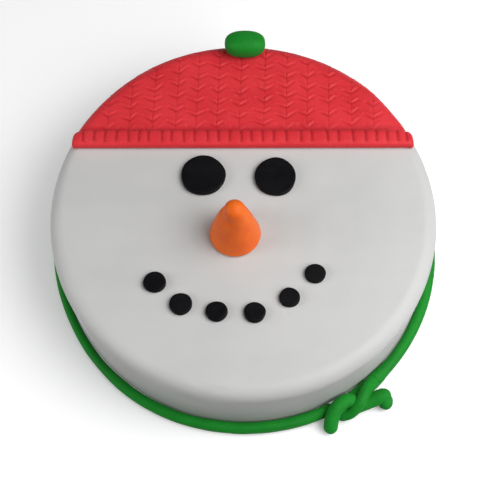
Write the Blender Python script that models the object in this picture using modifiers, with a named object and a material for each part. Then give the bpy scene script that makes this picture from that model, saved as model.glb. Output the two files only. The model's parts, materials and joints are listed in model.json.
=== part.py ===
"""Round fondant cake dressed as a snowman's face, with a knitted hat and a rope scarf.

Metres, +Z up. The origin is the middle of the flat base. The face looks up, with its chin at -Y
and its hat at +Y. Every piece is sugar paste laid on the iced cake.
"""

import math
import random

import bmesh
import bpy
from mathutils import Vector

MM = 0.001
GAP = 0.3 * MM  # clearance between pieces that touch
HAND_SEED = 7  # the hand-made unevenness of the marks
MERGE_DISTANCE = 0.001 * MM  # points this close are one
SHARP_ANGLE = 40  # degrees between faces that shows as a crisp edge
FLAT_ANGLE = 0.2  # degrees between faces that count as one flat area

# The iced cake: a hand-trimmed round, a little narrower in X and fuller towards its chin
CAKE_RADIUS = 130.4 * MM
CAKE_HEIGHT = 61.8 * MM
CAKE_SHOULDER = 10.0 * MM  # radius of the rounded top edge
CAKE_TAPER = 0.8 * MM  # how far the foot stands in from the side
CAKE_FOOT = 1.5 * MM  # radius of the bottom edge
CAKE_OVAL = 0.0071  # share of the radius lost in X and won in Y
CAKE_SKEW = 0.0040  # the same, along the diagonals
CAKE_FORWARD = 0.0093  # share of the radius won at the chin and lost at the back
CAKE_STEPS = 72  # facets round the cake and the crown
ARC_STEPS = 6  # facets over the rounded edge

# Hat: a rolled sheet over the back of the top, and a ribbed roll along its front
CROWN_THICKNESS = 1.6 * MM
CROWN_FRONT = 55.8 * MM  # where the sheet starts, behind the roll
CROWN_DROP = 13.0 * MM  # how far the sheet hangs below the top
CROWN_EDGE = 0.6 * MM  # rounding of its cut edge
KNIT_LINES = (-94, -79, -63, -47, -33, -18.5, -3, 14, 29.5, 44, 59, 75, 90)  # mm, hand ruled
KNIT_LEAN = 0.037  # sideways drift of a line for each unit of length
KNIT_ROW = 10.2 * MM
KNIT_FIRST_ROW = 66.0 * MM
KNIT_LAST_ROW = 134.0 * MM
KNIT_LINE_WIDTH = 0.7 * MM
KNIT_ARM_WIDTH = 1.2 * MM
KNIT_ARM_REACH = 6.0 * MM  # sideways, from the line
KNIT_ARM_RISE = 4.0 * MM
KNIT_DEPTH = 0.7 * MM

BRIM_HALF_LENGTH = 116.8 * MM
BRIM_MIDDLE = 49.4 * MM  # along Y
BRIM_WIDTH = 12.0 * MM
BRIM_HEIGHT = 6.2 * MM
BRIM_SQUARENESS = 2.6  # 2 is an ellipse, more is squarer
BRIM_SIDES = 14
BRIM_STATIONS = 32
BRIM_ROUND_START = -0.97  # where the left end starts to round, as a share of the half length
BRIM_END = ((-1.0, 0.5), (-0.997, 0.76), (-0.988, 0.93))  # place and thickness, as shares
BRIM_EASE = 1.0 * MM  # how much wider than the cake's edge it bends over that edge
RIB_COUNT = 29
RIB_PITCH = 7.9 * MM
RIB_DEPTH = 1.1 * MM
RIB_WIDTH = 1.5 * MM
RIB_SLOPE = 0.18  # a rib cut is shallow in front and deep at the back
RIB_SPAN = (-0.62, 1.3)  # where a cut starts and ends, in half widths of the roll

BOBBLE_MIDDLE = (1.8 * MM, 123.4 * MM)
BOBBLE_SIZE = (28.8 * MM, 19.4 * MM, 17.0 * MM)
BOBBLE_SQUARENESS = 2.5  # 2 is an ellipsoid, more is boxier
BOBBLE_SQUASH = 0.8 * MM  # how much of its underside is pressed flat
BOBBLE_DROOP = 0.45  # share of the sheet's fall that its underside follows

# Face: each disc is its middle in X and Y, its width and its depth, in mm
EYES = {
    "eye_left": (-26.7, 21.5, 30.0, 29.8),
    "eye_right": (21.8, 20.1, 27.8, 28.8),
}
EYE_THICKNESS = 3.0 * MM
MOUTH = (
    (-56.6, -56.0, 14.8, 14.2),
    (-39.6, -71.0, 14.7, 14.6),
    (-16.8, -76.2, 14.2, 13.4),
    (7.2, -77.0, 13.9, 13.7),
    (29.4, -67.0, 13.3, 13.1),
    (46.2, -50.7, 13.7, 13.1),
)
MOUTH_THICKNESS = 2.6 * MM
DISC_ROUNDING = 1.0 * MM
DISC_UNEVENNESS = 0.012  # share of a disc's radius
DISC_FOOT = 0.985  # radius under a disc, as a share of its full radius

NOSE_MIDDLE = (-5.1 * MM, -21.8 * MM)
NOSE_HEIGHT = 43.5 * MM
NOSE_BASE_RADIUS = 16.7 * MM
NOSE_BELLY = 1.5 * MM  # height of the widest place
NOSE_TIP_RADIUS = 6.9 * MM
NOSE_TIP_EDGE = 22  # degrees above level where the round tip runs into the flank
NOSE_TAPER = 1.06  # 1 is a straight cone, more swells the flanks
NOSE_LEAN = (0.3 * MM, -1.3 * MM)  # how far the tip stands off the middle
NOSE_FOOT = 0.05  # share of the radius that the underside draws in
NOSE_STEPS = 24

# Scarf: a rope of paste round the foot of the cake, its two ends twisted together
ROPE_RADIUS = 4.0 * MM
ROPE_WANDER = 0.4 * MM  # how far the rope strays from the cake
ROPE_WAVES = 5  # times round the cake that it strays
ROPE_CLEARANCE = 0.5 * MM  # to the cake's foot, as the side leans out above it
ROPE_THIN_ANGLE = -150.0  # where the rope is rolled thinnest, in degrees round Z
ROPE_THIN_REACH = 45.0  # how far to each side of that it grows thinner
ROPE_THINNING = 0.22  # share of its thickness that it loses there
ROPE_SIDES = 3  # bevel resolution
ROPE_END_STEPS = (30, 58, 80)  # degrees round a rounded end
ROPE_LEFT_ANGLE = -68.0  # where the rope leaves the cake, in degrees round Z
ROPE_RIGHT_ANGLE = -48.0
ROPE_POINTS = 72
KNOT_STEP = 3.0 * MM  # length of a facet in the knot
# Knot routes in mm, from where each strand leaves the ring
LEFT_END = ((56.4, -124.0, 4.2),)
OVER_STRAND = (
    (86.8, -105.4, 5.4),
    (83.0, -110.2, 8.8),
    (80.0, -115.0, 11.6),
    (77.4, -120.0, 12.2),
    (74.2, -124.4, 10.0),
    (70.0, -127.2, 6.6),
    (65.4, -128.2, 4.6),
)
UNDER_STRAND = (
    (59.0, -125.8, 4.9),
    (67.0, -124.6, 4.9),
    (76.0, -122.0, 5.1),
    (84.0, -119.0, 6.2),
    (89.6, -117.0, 7.4),
    (93.2, -115.8, 7.6),
)
CURLED_END = ((93.6, -117.0, 6.2), (94.6, -118.6, 5.4), (94.4, -120.0, 4.8))
BEHIND_STRAND = (
    (83.1, -107.7, 4.9),
    (77.9, -112.2, 4.9),
    (73.2, -115.5, 4.9),
    (68.8, -118.3, 4.8),
)
TAIL_STRAND = (
    (75.2, -121.7, 6.2),
    (74.0, -120.9, 7.6),
    (71.2, -120.0, 9.8),
    (67.4, -120.4, 11.6),
    (62.9, -123.2, 12.2),
    (59.6, -127.2, 11.2),
    (57.8, -131.6, 8.6),
    (57.0, -136.0, 5.0),
)
UNDER_RADIUS = 4.8 * MM
CURL_RADIUS = 4.6 * MM
BEHIND_RADIUS = 4.2 * MM
TAIL_RADIUS = 4.8 * MM

COLOURS = {
    "white": (0.60, 0.60, 0.60, 1.0),
    "red": (0.66, 0.030, 0.040, 1.0),
    "green": (0.010, 0.24, 0.022, 1.0),
    "black": (0.006, 0.006, 0.007, 1.0),
    "orange": (0.80, 0.155, 0.014, 1.0),
}


def clear_scene():
    """Remove every object that is there before the cake is made."""
    for obj in list(bpy.data.objects):
        bpy.data.objects.remove(obj, do_unlink=True)


def new_collection(name):
    """Return a new collection in the scene."""
    collection = bpy.data.collections.new(name)
    bpy.context.scene.collection.children.link(collection)
    return collection


def sugar_paste(name):
    """Return the matte paste material of one of the named colours."""
    material = bpy.data.materials.new(name + " sugar paste")
    material.use_nodes = True
    shader = material.node_tree.nodes["Principled BSDF"]
    shader.inputs["Base Color"].default_value = COLOURS[name]
    shader.inputs["Roughness"].default_value = 0.5
    shader.inputs["Metallic"].default_value = 0.0
    return material


def add_object(name, data, collection):
    """Link a new object that holds this mesh or curve."""
    obj = bpy.data.objects.new(name, data)
    collection.objects.link(obj)
    return obj


def make_cutter(obj):
    """Mark an object as a tool that shapes others and isn't part of the cake."""
    obj.hide_render = True
    obj.display_type = "WIRE"


def made_mesh(obj):
    """Replace an object by the plain mesh that its curve or its modifiers make."""
    bpy.context.view_layer.update()
    evaluated = obj.evaluated_get(bpy.context.evaluated_depsgraph_get())
    mesh = bpy.data.meshes.new_from_object(evaluated)
    shape = bmesh.new()
    shape.from_mesh(mesh)
    bmesh.ops.remove_doubles(shape, verts=shape.verts, dist=MERGE_DISTANCE)
    shape.to_mesh(mesh)
    shape.free()
    name = obj.name
    result = add_object(name, mesh, obj.users_collection[0])
    result.matrix_world = obj.matrix_world.copy()
    bpy.data.objects.remove(obj, do_unlink=True)
    result.name = name
    return result


def keep_main_body(obj):
    """Delete loose slivers, and the walls of hollows that a union has sealed."""
    shape = bmesh.new()
    shape.from_mesh(obj.data)
    left = set(shape.verts)
    bodies = []
    while left:
        body, edge = set(), [left.pop()]
        while edge:
            vertex = edge.pop()
            body.add(vertex)
            near = {link.other_vert(vertex) for link in vertex.link_edges} & left
            left -= near
            edge.extend(near)
        bodies.append(body)
    bodies.sort(key=len)
    loose = [vertex for body in bodies[:-1] for vertex in body]
    bmesh.ops.delete(shape, geom=loose, context="VERTS")
    shape.to_mesh(obj.data)
    shape.free()


def finish(obj, material):
    """Give a piece its paste and smooth shading with crisp edges."""
    obj.data.materials.clear()
    obj.data.materials.append(material)
    obj.data.shade_smooth()
    obj.data.set_sharp_from_angle(angle=math.radians(SHARP_ANGLE))


def boolean(obj, tool, operation):
    """Add a Boolean that combines an object with a tool."""
    modifier = obj.modifiers.new(operation.title() + " " + tool.name, "BOOLEAN")
    modifier.operation = operation
    modifier.object = tool
    modifier.solver = "EXACT"


def stretch(angle):
    """Return the cake's radius at an angle round Z, as a share of the mean."""
    oval = CAKE_OVAL * math.cos(2 * angle) + CAKE_SKEW * math.sin(2 * angle)
    return 1 - oval - CAKE_FORWARD * math.sin(angle)


def surface_drop(x, y, cover=0.0):
    """Return how far the rounded edge, under a sheet of this cover, lies below the top."""
    inner = CAKE_RADIUS - CAKE_SHOULDER
    beyond = math.hypot(x, y) / stretch(math.atan2(y, x)) - inner
    if beyond <= 0:
        return 0.0
    radius = CAKE_SHOULDER + cover
    return radius - math.sqrt(max(radius**2 - beyond**2, 0.0))


def arc(middle, radius, start, end, steps):
    """Return points along an arc in the XZ plane, with angles in degrees from +X."""
    angles = [math.radians(start + (end - start) * step / steps) for step in range(steps + 1)]
    return [(middle[0] + radius * math.cos(a), middle[1] + radius * math.sin(a)) for a in angles]


def turned(name, outline, steps, collection):
    """Turn an outline of (radius, height) points, top to bottom, round Z."""
    mesh = bpy.data.meshes.new(name)
    points = [(radius, 0.0, height) for radius, height in outline]
    mesh.from_pydata(points, [(i, i + 1) for i in range(len(points) - 1)], [])
    obj = add_object(name, mesh, collection)
    screw = obj.modifiers.new("Turn", "SCREW")
    screw.steps = steps
    screw.render_steps = steps
    screw.use_merge_vertices = True
    screw.merge_threshold = MERGE_DISTANCE
    return made_mesh(obj)


def merge_flats(obj):
    """Join the faces of each flat area into one."""
    shape = bmesh.new()
    shape.from_mesh(obj.data)
    bmesh.ops.dissolve_limit(
        shape, angle_limit=math.radians(FLAT_ANGLE), verts=shape.verts, edges=shape.edges
    )
    shape.to_mesh(obj.data)
    shape.free()


def fit_to_cake(obj):
    """Stretch a turned piece to the cake's own slightly oval round."""
    for vertex in obj.data.vertices:
        share = stretch(math.atan2(vertex.co.y, vertex.co.x))
        vertex.co.x *= share
        vertex.co.y *= share


def shoulder(cover):
    """Return the outline of the rounded edge under this much cover, from the top outwards."""
    middle = (CAKE_RADIUS - CAKE_SHOULDER, CAKE_HEIGHT - CAKE_SHOULDER)
    return arc(middle, CAKE_SHOULDER + cover, 90, 0, ARC_STEPS)


def make_cake(collection):
    """Make the iced cake: flat top and base, rounded edge, upright side."""
    foot = arc((CAKE_RADIUS - CAKE_TAPER - CAKE_FOOT, CAKE_FOOT), CAKE_FOOT, 0, -90, 2)
    outline = [(0.0, CAKE_HEIGHT)] + shoulder(0.0) + foot + [(0.0, 0.0)]
    cake = turned("cake", outline, CAKE_STEPS, collection)
    fit_to_cake(cake)
    return cake


def crown_cap(name, inside, outside, collection):
    """Make a cap over the whole top between two covers, open below."""
    hem = CAKE_HEIGHT - CROWN_DROP
    outer_radius = CAKE_RADIUS + outside
    rounded = arc((outer_radius - CROWN_EDGE, hem + CROWN_EDGE), CROWN_EDGE, 0, -90, 2)
    outline = [(0.0, CAKE_HEIGHT + outside)] + shoulder(outside) + rounded
    outline += [(CAKE_RADIUS + inside, hem)] + shoulder(inside)[::-1]
    outline.append((0.0, CAKE_HEIGHT + inside))
    cap = turned(name, outline, CAKE_STEPS, collection)
    merge_flats(cap)
    fit_to_cake(cap)
    return cap


def prism(shape, outline, low, high):
    """Add an upright prism over a plan outline to a bmesh."""
    base = [shape.verts.new((x, y, low)) for x, y in outline]
    face = shape.faces.new(base)
    top = bmesh.ops.extrude_face_region(shape, geom=[face])["geom"]
    raised = [item for item in top if isinstance(item, bmesh.types.BMVert)]
    bmesh.ops.translate(shape, vec=(0, 0, high - low), verts=raised)


def knit_column(line, hand):
    """Return the plan outline of one ruled line with its pairs of slanting stitch marks."""
    half = KNIT_LINE_WIDTH / 2
    left, right = [], []
    start = CROWN_FRONT - 5 * MM
    rows = int((KNIT_LAST_ROW - KNIT_FIRST_ROW) / KNIT_ROW) + 1
    for row in range(rows):
        height = KNIT_FIRST_ROW + row * KNIT_ROW + hand.uniform(-1.0, 1.0) * MM
        for side, points in ((-1, left), (1, right)):
            reach = KNIT_ARM_REACH + hand.uniform(-0.8, 0.6) * MM
            rise = KNIT_ARM_RISE + hand.uniform(-0.7, 0.9) * MM
            points.append((side * half, height - KNIT_ARM_WIDTH / 2))
            points.append((side * reach, height + rise))
            points.append((side * half, height + KNIT_ARM_WIDTH / 2))
    outline = [(half, start)] + right + [(half, KNIT_LAST_ROW), (-half, KNIT_LAST_ROW)]
    outline += left[::-1] + [(-half, start)]
    return [(line + x + KNIT_LEAN * (y - CROWN_FRONT), y) for x, y in outline]


def knit_marks(cutters):
    """Make the tool that presses the stitch marks into the crown's upper side."""
    hand = random.Random(HAND_SEED)
    shape = bmesh.new()
    for line in KNIT_LINES:
        prism(shape, knit_column(line * MM, hand), CAKE_HEIGHT - 2 * CROWN_DROP, 2 * CAKE_HEIGHT)
    bmesh.ops.recalc_face_normals(shape, faces=shape.faces)
    mesh = bpy.data.meshes.new("knit marks")
    shape.to_mesh(mesh)
    shape.free()
    marks = add_object("knit marks", mesh, cutters)
    floor = GAP + CROWN_THICKNESS - KNIT_DEPTH
    below = CAKE_HEIGHT - 3 * CROWN_DROP
    outline = [(0.0, CAKE_HEIGHT + floor)] + shoulder(floor)
    outline += [(CAKE_RADIUS + floor, below), (0.0, below)]
    core = turned("uncut core", outline, CAKE_STEPS, cutters)
    merge_flats(core)
    fit_to_cake(core)
    boolean(marks, core, "DIFFERENCE")
    make_cutter(core)
    make_cutter(marks)
    return marks


def make_crown(collection, cutters):
    """Make the knitted sheet over the back of the top."""
    crown = crown_cap("hat_crown", GAP, GAP + CROWN_THICKNESS, collection)
    shape = bmesh.new()
    bmesh.ops.create_cube(shape, size=1.0)
    reach = CAKE_RADIUS * 1.2
    for vertex in shape.verts:
        vertex.co.x *= 2 * reach
        vertex.co.y = CROWN_FRONT + (vertex.co.y + 0.5) * reach
        vertex.co.z = (vertex.co.z + 0.5) * 2 * CAKE_HEIGHT
    mesh = bpy.data.meshes.new("back of the top")
    shape.to_mesh(mesh)
    shape.free()
    back = add_object("back of the top", mesh, cutters)
    make_cutter(back)
    boolean(crown, back, "INTERSECT")
    boolean(crown, knit_marks(cutters), "DIFFERENCE")
    crown = made_mesh(crown)
    keep_main_body(crown)
    return crown


def tube(name, points, radius, collection, sides=ROPE_SIDES):
    """Make a rope along points in metres, with round ends."""
    points = [Vector(point) for point in points]
    stations = [(point, min(1.0, point.z / radius)) for point in points]
    for end, before in ((0, 1), (-1, -2)):
        outward = (points[end] - points[before]).normalized()
        for degrees in ROPE_END_STEPS:
            angle = math.radians(degrees)
            cap = (points[end] + outward * radius * math.sin(angle), math.cos(angle))
            stations.insert(0, cap) if end == 0 else stations.append(cap)
    curve = bpy.data.curves.new(name, "CURVE")
    curve.dimensions = "3D"
    curve.bevel_depth = radius
    curve.bevel_resolution = sides
    curve.use_fill_caps = True
    spline = curve.splines.new("POLY")
    spline.points.add(len(stations) - 1)
    for station, (point, share) in zip(spline.points, stations):
        station.co = (*point, 1.0)
        station.radius = share
    return made_mesh(add_object(name, curve, collection))


def smooth_route(points, step):
    """Return points about a step apart on a smooth curve through the given ones."""
    points = [Vector(point) for point in points]
    padded = [2 * points[0] - points[1]] + points + [2 * points[-1] - points[-2]]
    route = []
    for a, b, c, d in zip(padded, padded[1:], padded[2:], padded[3:]):
        pieces = max(1, round((c - b).length / step))
        for piece in range(pieces):
            t = piece / pieces
            route.append(
                0.5 * ((2 * b) + (c - a) * t + (2 * a - 5 * b + 4 * c - d) * t**2
                       + (3 * b - a - 3 * c + d) * t**3)
            )
    route.append(points[-1])
    return route


def in_metres(points):
    """Return a list of points in mm as vectors in metres."""
    return [Vector(point) * MM for point in points]


def make_scarf(collection):
    """Make the rope round the foot of the cake, with its ends twisted together."""
    ring = []
    turn = 360 - (ROPE_RIGHT_ANGLE - ROPE_LEFT_ANGLE)
    for index in range(ROPE_POINTS + 1):
        angle = math.radians(ROPE_LEFT_ANGLE - turn * index / ROPE_POINTS)
        stray = ROPE_WANDER * (1 + math.sin(ROPE_WAVES * angle)) / 2
        side = (CAKE_RADIUS - CAKE_TAPER) * stretch(angle)
        away = min(abs(math.degrees(angle) - ROPE_THIN_ANGLE) / ROPE_THIN_REACH, 1.0)
        thick = ROPE_RADIUS * (1 - ROPE_THINNING * math.cos(away * math.pi / 2) ** 2)
        radius = side + ROPE_CLEARANCE + thick + stray
        ring.append(Vector((radius * math.cos(angle), radius * math.sin(angle), thick)))
    over = smooth_route([ring[-2], ring[-1]] + in_metres(OVER_STRAND), KNOT_STEP)
    route = in_metres(LEFT_END) + ring[:-2] + over
    scarf = tube("scarf", route, ROPE_RADIUS, collection)
    strands = (
        ("under strand", UNDER_STRAND, UNDER_RADIUS),
        ("curled end", CURLED_END, CURL_RADIUS),
        ("tail strand", TAIL_STRAND, TAIL_RADIUS),
        ("strand behind", BEHIND_STRAND, BEHIND_RADIUS),
    )
    for name, points, radius in strands:
        strand = tube(name, smooth_route(in_metres(points), KNOT_STEP), radius, collection)
        boolean(scarf, strand, "UNION")
        scarf = made_mesh(scarf)
        bpy.data.objects.remove(strand, do_unlink=True)
    keep_main_body(scarf)
    return scarf


def make_brim(collection, cutters):
    """Make the flattened roll along the front of the hat and press its ribs."""
    profile = bpy.data.curves.new("roll section", "CURVE")
    profile.dimensions = "2D"
    outline = profile.splines.new("POLY")
    outline.points.add(BRIM_SIDES - 1)
    power = 2 / BRIM_SQUARENESS
    for index, point in enumerate(outline.points):
        angle = 2 * math.pi * index / BRIM_SIDES
        across = math.copysign(abs(math.cos(angle)) ** power, math.cos(angle))
        upward = -math.copysign(abs(math.sin(angle)) ** power, math.sin(angle))
        point.co = (across * BRIM_WIDTH / 2, upward * BRIM_HEIGHT / 2, 0.0, 1.0)
    outline.use_cyclic_u = True
    section = add_object("roll section", profile, cutters)
    make_cutter(section)
    curve = bpy.data.curves.new("hat_brim", "CURVE")
    curve.dimensions = "3D"
    curve.bevel_mode = "OBJECT"
    curve.bevel_object = section
    curve.use_fill_caps = True
    ends = [*BRIM_END, (BRIM_ROUND_START, 1.0)]
    inner = BRIM_STATIONS - 2 * len(ends)
    turns = [math.pi * ((i + 1) / (inner + 1) - 0.5) for i in range(inner)]
    middle = [(-BRIM_ROUND_START * math.sin(turn), 1.0) for turn in turns]
    stations = ends + middle + [(-place, share) for place, share in ends[::-1]]
    line = curve.splines.new("POLY")
    line.points.add(len(stations) - 1)
    for point, (place, share) in zip(line.points, stations):
        point.co = (place * BRIM_HALF_LENGTH, BRIM_MIDDLE, BRIM_HEIGHT / 2, 1.0)
        point.radius = share
    brim = made_mesh(add_object("hat_brim", curve, collection))
    for vertex in brim.data.vertices:
        drop = surface_drop(vertex.co.x, vertex.co.y, BRIM_EASE)
        vertex.co.z += CAKE_HEIGHT + GAP - drop
    boolean(brim, rib_cuts(cutters), "DIFFERENCE")
    return brim


def rib_cuts(cutters):
    """Make the blades that press the ribs across the roll, deeper towards its back."""
    hand = random.Random(HAND_SEED)
    shape = bmesh.new()
    half = BRIM_WIDTH / 2
    for index in range(RIB_COUNT):
        middle = (index - (RIB_COUNT - 1) / 2) * RIB_PITCH + hand.uniform(-0.8, 0.8) * MM
        crest = CAKE_HEIGHT + GAP + BRIM_HEIGHT - surface_drop(middle, BRIM_MIDDLE)
        rings = []
        for share in RIB_SPAN:
            forward = share * half
            edge = crest - RIB_DEPTH - RIB_SLOPE * forward
            top = crest + 2 * RIB_DEPTH
            width = RIB_WIDTH / 2 * (top - edge) / RIB_DEPTH
            y = BRIM_MIDDLE + forward
            corners = ((middle, y, edge), (middle + width, y, top), (middle - width, y, top))
            rings.append([shape.verts.new(corner) for corner in corners])
        front, back = rings
        shape.faces.new(front)
        shape.faces.new(back[::-1])
        for a in range(3):
            b = (a + 1) % 3
            shape.faces.new((front[b], front[a], back[a], back[b]))
    bmesh.ops.recalc_face_normals(shape, faces=shape.faces)
    mesh = bpy.data.meshes.new("rib cuts")
    shape.to_mesh(mesh)
    shape.free()
    cuts = add_object("rib cuts", mesh, cutters)
    make_cutter(cuts)
    return cuts


def make_bobble(collection):
    """Make the squashed ball that sits on the back edge of the hat."""
    shape = bmesh.new()
    bmesh.ops.create_uvsphere(shape, u_segments=20, v_segments=11, radius=0.5)
    mesh = bpy.data.meshes.new("hat_bobble")
    shape.to_mesh(mesh)
    shape.free()
    bobble = add_object("hat_bobble", mesh, collection)
    width, depth, height = BOBBLE_SIZE
    cover = GAP + CROWN_THICKNESS
    for vertex in mesh.vertices:
        power = sum(abs(2 * value) ** BOBBLE_SQUARENESS for value in vertex.co)
        boxy = vertex.co * power ** (-1 / BOBBLE_SQUARENESS)
        x = BOBBLE_MIDDLE[0] + boxy.x * width
        y = BOBBLE_MIDDLE[1] + boxy.y * depth
        above = max((boxy.z + 0.5) * height - BOBBLE_SQUASH, 0.0)
        follow = BOBBLE_DROOP * (1 - 0.7 * above / height)
        drop = surface_drop(x, y, cover) * follow
        vertex.co = (x, y, CAKE_HEIGHT + cover + GAP + above - drop)
    return bobble


def make_disc(name, place, thickness, steps, collection, hand):
    """Make a flat disc of paste with a soft upper edge and a slightly uneven outline."""
    x, y, width, depth = (value * MM for value in place)
    radius = width / 2
    edge = radius - DISC_ROUNDING
    upper = arc((edge, thickness - DISC_ROUNDING), DISC_ROUNDING, 90, 0, 2)
    outline = [(0.0, thickness)] + upper + [(radius * DISC_FOOT, 0.0), (0.0, 0.0)]
    disc = turned(name, outline, steps, collection)
    merge_flats(disc)
    phase = [hand.uniform(0, 2 * math.pi) for _ in range(2)]
    for vertex in disc.data.vertices:
        angle = math.atan2(vertex.co.y, vertex.co.x)
        uneven = math.sin(3 * angle + phase[0]) + 0.6 * math.sin(5 * angle + phase[1])
        share = 1 + DISC_UNEVENNESS * uneven
        vertex.co.x = x + vertex.co.x * share
        vertex.co.y = y + vertex.co.y * share * depth / width
        vertex.co.z += CAKE_HEIGHT + GAP
    return disc


def nose_radius(height, waist):
    """Return the carrot nose's radius at a height, below the waist where its tip starts."""
    radius, neck = waist
    if height <= NOSE_BELLY:
        return NOSE_BASE_RADIUS * (1 - NOSE_FOOT * (1 - height / NOSE_BELLY) ** 2)
    above = (height - NOSE_BELLY) / (neck - NOSE_BELLY)
    return radius + (NOSE_BASE_RADIUS - radius) * (1 - above**NOSE_TAPER)


def make_nose(collection):
    """Make the carrot nose: a fat round base that narrows to a blunt tip."""
    tip = arc((0.0, NOSE_HEIGHT - NOSE_TIP_RADIUS), NOSE_TIP_RADIUS, 90, NOSE_TIP_EDGE, 4)
    waist = tip[-1]
    levels = [NOSE_BELLY + (waist[1] - NOSE_BELLY) * (1 - step / 8) for step in range(1, 9)]
    heights = levels + [NOSE_BELLY / 2, 0.0]
    flank = [(nose_radius(height, waist), height) for height in heights]
    outline = tip + flank + [(0.0, 0.0)]
    nose = turned("nose", outline, NOSE_STEPS, collection)
    for vertex in nose.data.vertices:
        share = (vertex.co.z / NOSE_HEIGHT) ** 1.5
        vertex.co.x += NOSE_MIDDLE[0] + NOSE_LEAN[0] * share
        vertex.co.y += NOSE_MIDDLE[1] + NOSE_LEAN[1] * share
        vertex.co.z += CAKE_HEIGHT + GAP
    return nose


def main():
    """Build the cake and everything that decorates it."""
    clear_scene()
    collection = new_collection("fondant cake")
    cutters = new_collection("cutters")
    pastes = {name: sugar_paste(name) for name in COLOURS}
    hand = random.Random(HAND_SEED)
    finish(make_cake(collection), pastes["white"])
    finish(make_crown(collection, cutters), pastes["red"])
    finish(make_brim(collection, cutters), pastes["red"])
    finish(make_bobble(collection), pastes["green"])
    for name, place in EYES.items():
        finish(make_disc(name, place, EYE_THICKNESS, 28, collection, hand), pastes["black"])
    for index, place in enumerate(MOUTH, start=1):
        disc = make_disc(f"mouth_{index}", place, MOUTH_THICKNESS, 18, collection, hand)
        finish(disc, pastes["black"])
    finish(make_nose(collection), pastes["orange"])
    finish(make_scarf(collection), pastes["green"])


main()
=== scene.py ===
"""Fondant celebration cake with a snowman's face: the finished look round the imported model.

Metres, +Z up. The origin is the middle of the flat base. The face looks up, with its chin at -Y
and its hat at +Y. Every piece is sugar paste: rolled, pressed, cut or shaped by hand.
"""

from __future__ import annotations

import json
import logging
import math
import random
from collections.abc import Iterator, Mapping, Sequence
from dataclasses import dataclass, field
from enum import Enum
from functools import reduce
from typing import ClassVar

import bpy
import numpy as np
import numpy.typing as npt
from mathutils import Matrix, Vector
from mathutils.geometry import delaunay_2d_cdt

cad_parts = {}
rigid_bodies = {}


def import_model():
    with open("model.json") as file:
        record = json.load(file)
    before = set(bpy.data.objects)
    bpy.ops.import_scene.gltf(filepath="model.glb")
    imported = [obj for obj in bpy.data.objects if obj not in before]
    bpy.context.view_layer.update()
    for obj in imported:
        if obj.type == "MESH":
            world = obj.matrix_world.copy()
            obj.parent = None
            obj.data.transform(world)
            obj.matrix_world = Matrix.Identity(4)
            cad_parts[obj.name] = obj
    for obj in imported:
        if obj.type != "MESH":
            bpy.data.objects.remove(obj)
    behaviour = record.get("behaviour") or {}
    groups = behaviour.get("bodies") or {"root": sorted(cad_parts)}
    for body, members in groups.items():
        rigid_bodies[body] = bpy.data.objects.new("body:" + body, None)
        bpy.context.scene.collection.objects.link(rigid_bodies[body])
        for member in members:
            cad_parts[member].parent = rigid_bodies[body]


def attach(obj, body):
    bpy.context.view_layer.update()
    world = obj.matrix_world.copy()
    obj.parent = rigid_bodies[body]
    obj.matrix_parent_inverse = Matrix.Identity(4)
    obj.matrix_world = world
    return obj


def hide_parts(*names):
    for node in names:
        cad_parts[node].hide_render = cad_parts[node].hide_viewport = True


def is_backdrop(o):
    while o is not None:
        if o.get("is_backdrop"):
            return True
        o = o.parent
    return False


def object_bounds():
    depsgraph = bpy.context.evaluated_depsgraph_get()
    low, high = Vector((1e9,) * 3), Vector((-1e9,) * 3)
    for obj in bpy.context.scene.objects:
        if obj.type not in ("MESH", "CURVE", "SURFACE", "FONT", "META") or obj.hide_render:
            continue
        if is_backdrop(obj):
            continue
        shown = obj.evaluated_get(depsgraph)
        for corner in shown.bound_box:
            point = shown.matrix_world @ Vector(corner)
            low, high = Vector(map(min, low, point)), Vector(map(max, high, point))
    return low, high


for startup in list(bpy.data.objects):
    bpy.data.objects.remove(startup, do_unlink=True)
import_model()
CAD_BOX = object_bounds()

MM = 0.001
GAP = 0.3 * MM  # clearance between pieces that touch
HAND_SEED = 7  # the hand-made unevenness of the discs and of the blade marks
BODY = "root"
MARK_AND_PAINTED_LIGHT = "tool mark"  # the attribute that says how far a tool pressed (1) or raised (-1) the paste, with painted shade added in the grooves, slits and the crease under the brim, and a painted highlight on the ridges

Array = npt.NDArray[np.float64]
Faces = list[tuple[int, ...]]
Route = Sequence[tuple[float, float, float]]
Socket = bpy.types.NodeSocket
Value = Socket | float | int | bool | str | tuple[float, ...] | None

log = logging.getLogger("cake")


class Paste(Enum):
    """The coloured pastes, each with its material slot in the record."""

    WHITE = "white_paste"
    RED = "red_paste"
    GREEN = "green_paste"
    BLACK = "black_paste"
    ORANGE = "orange_paste"


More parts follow.
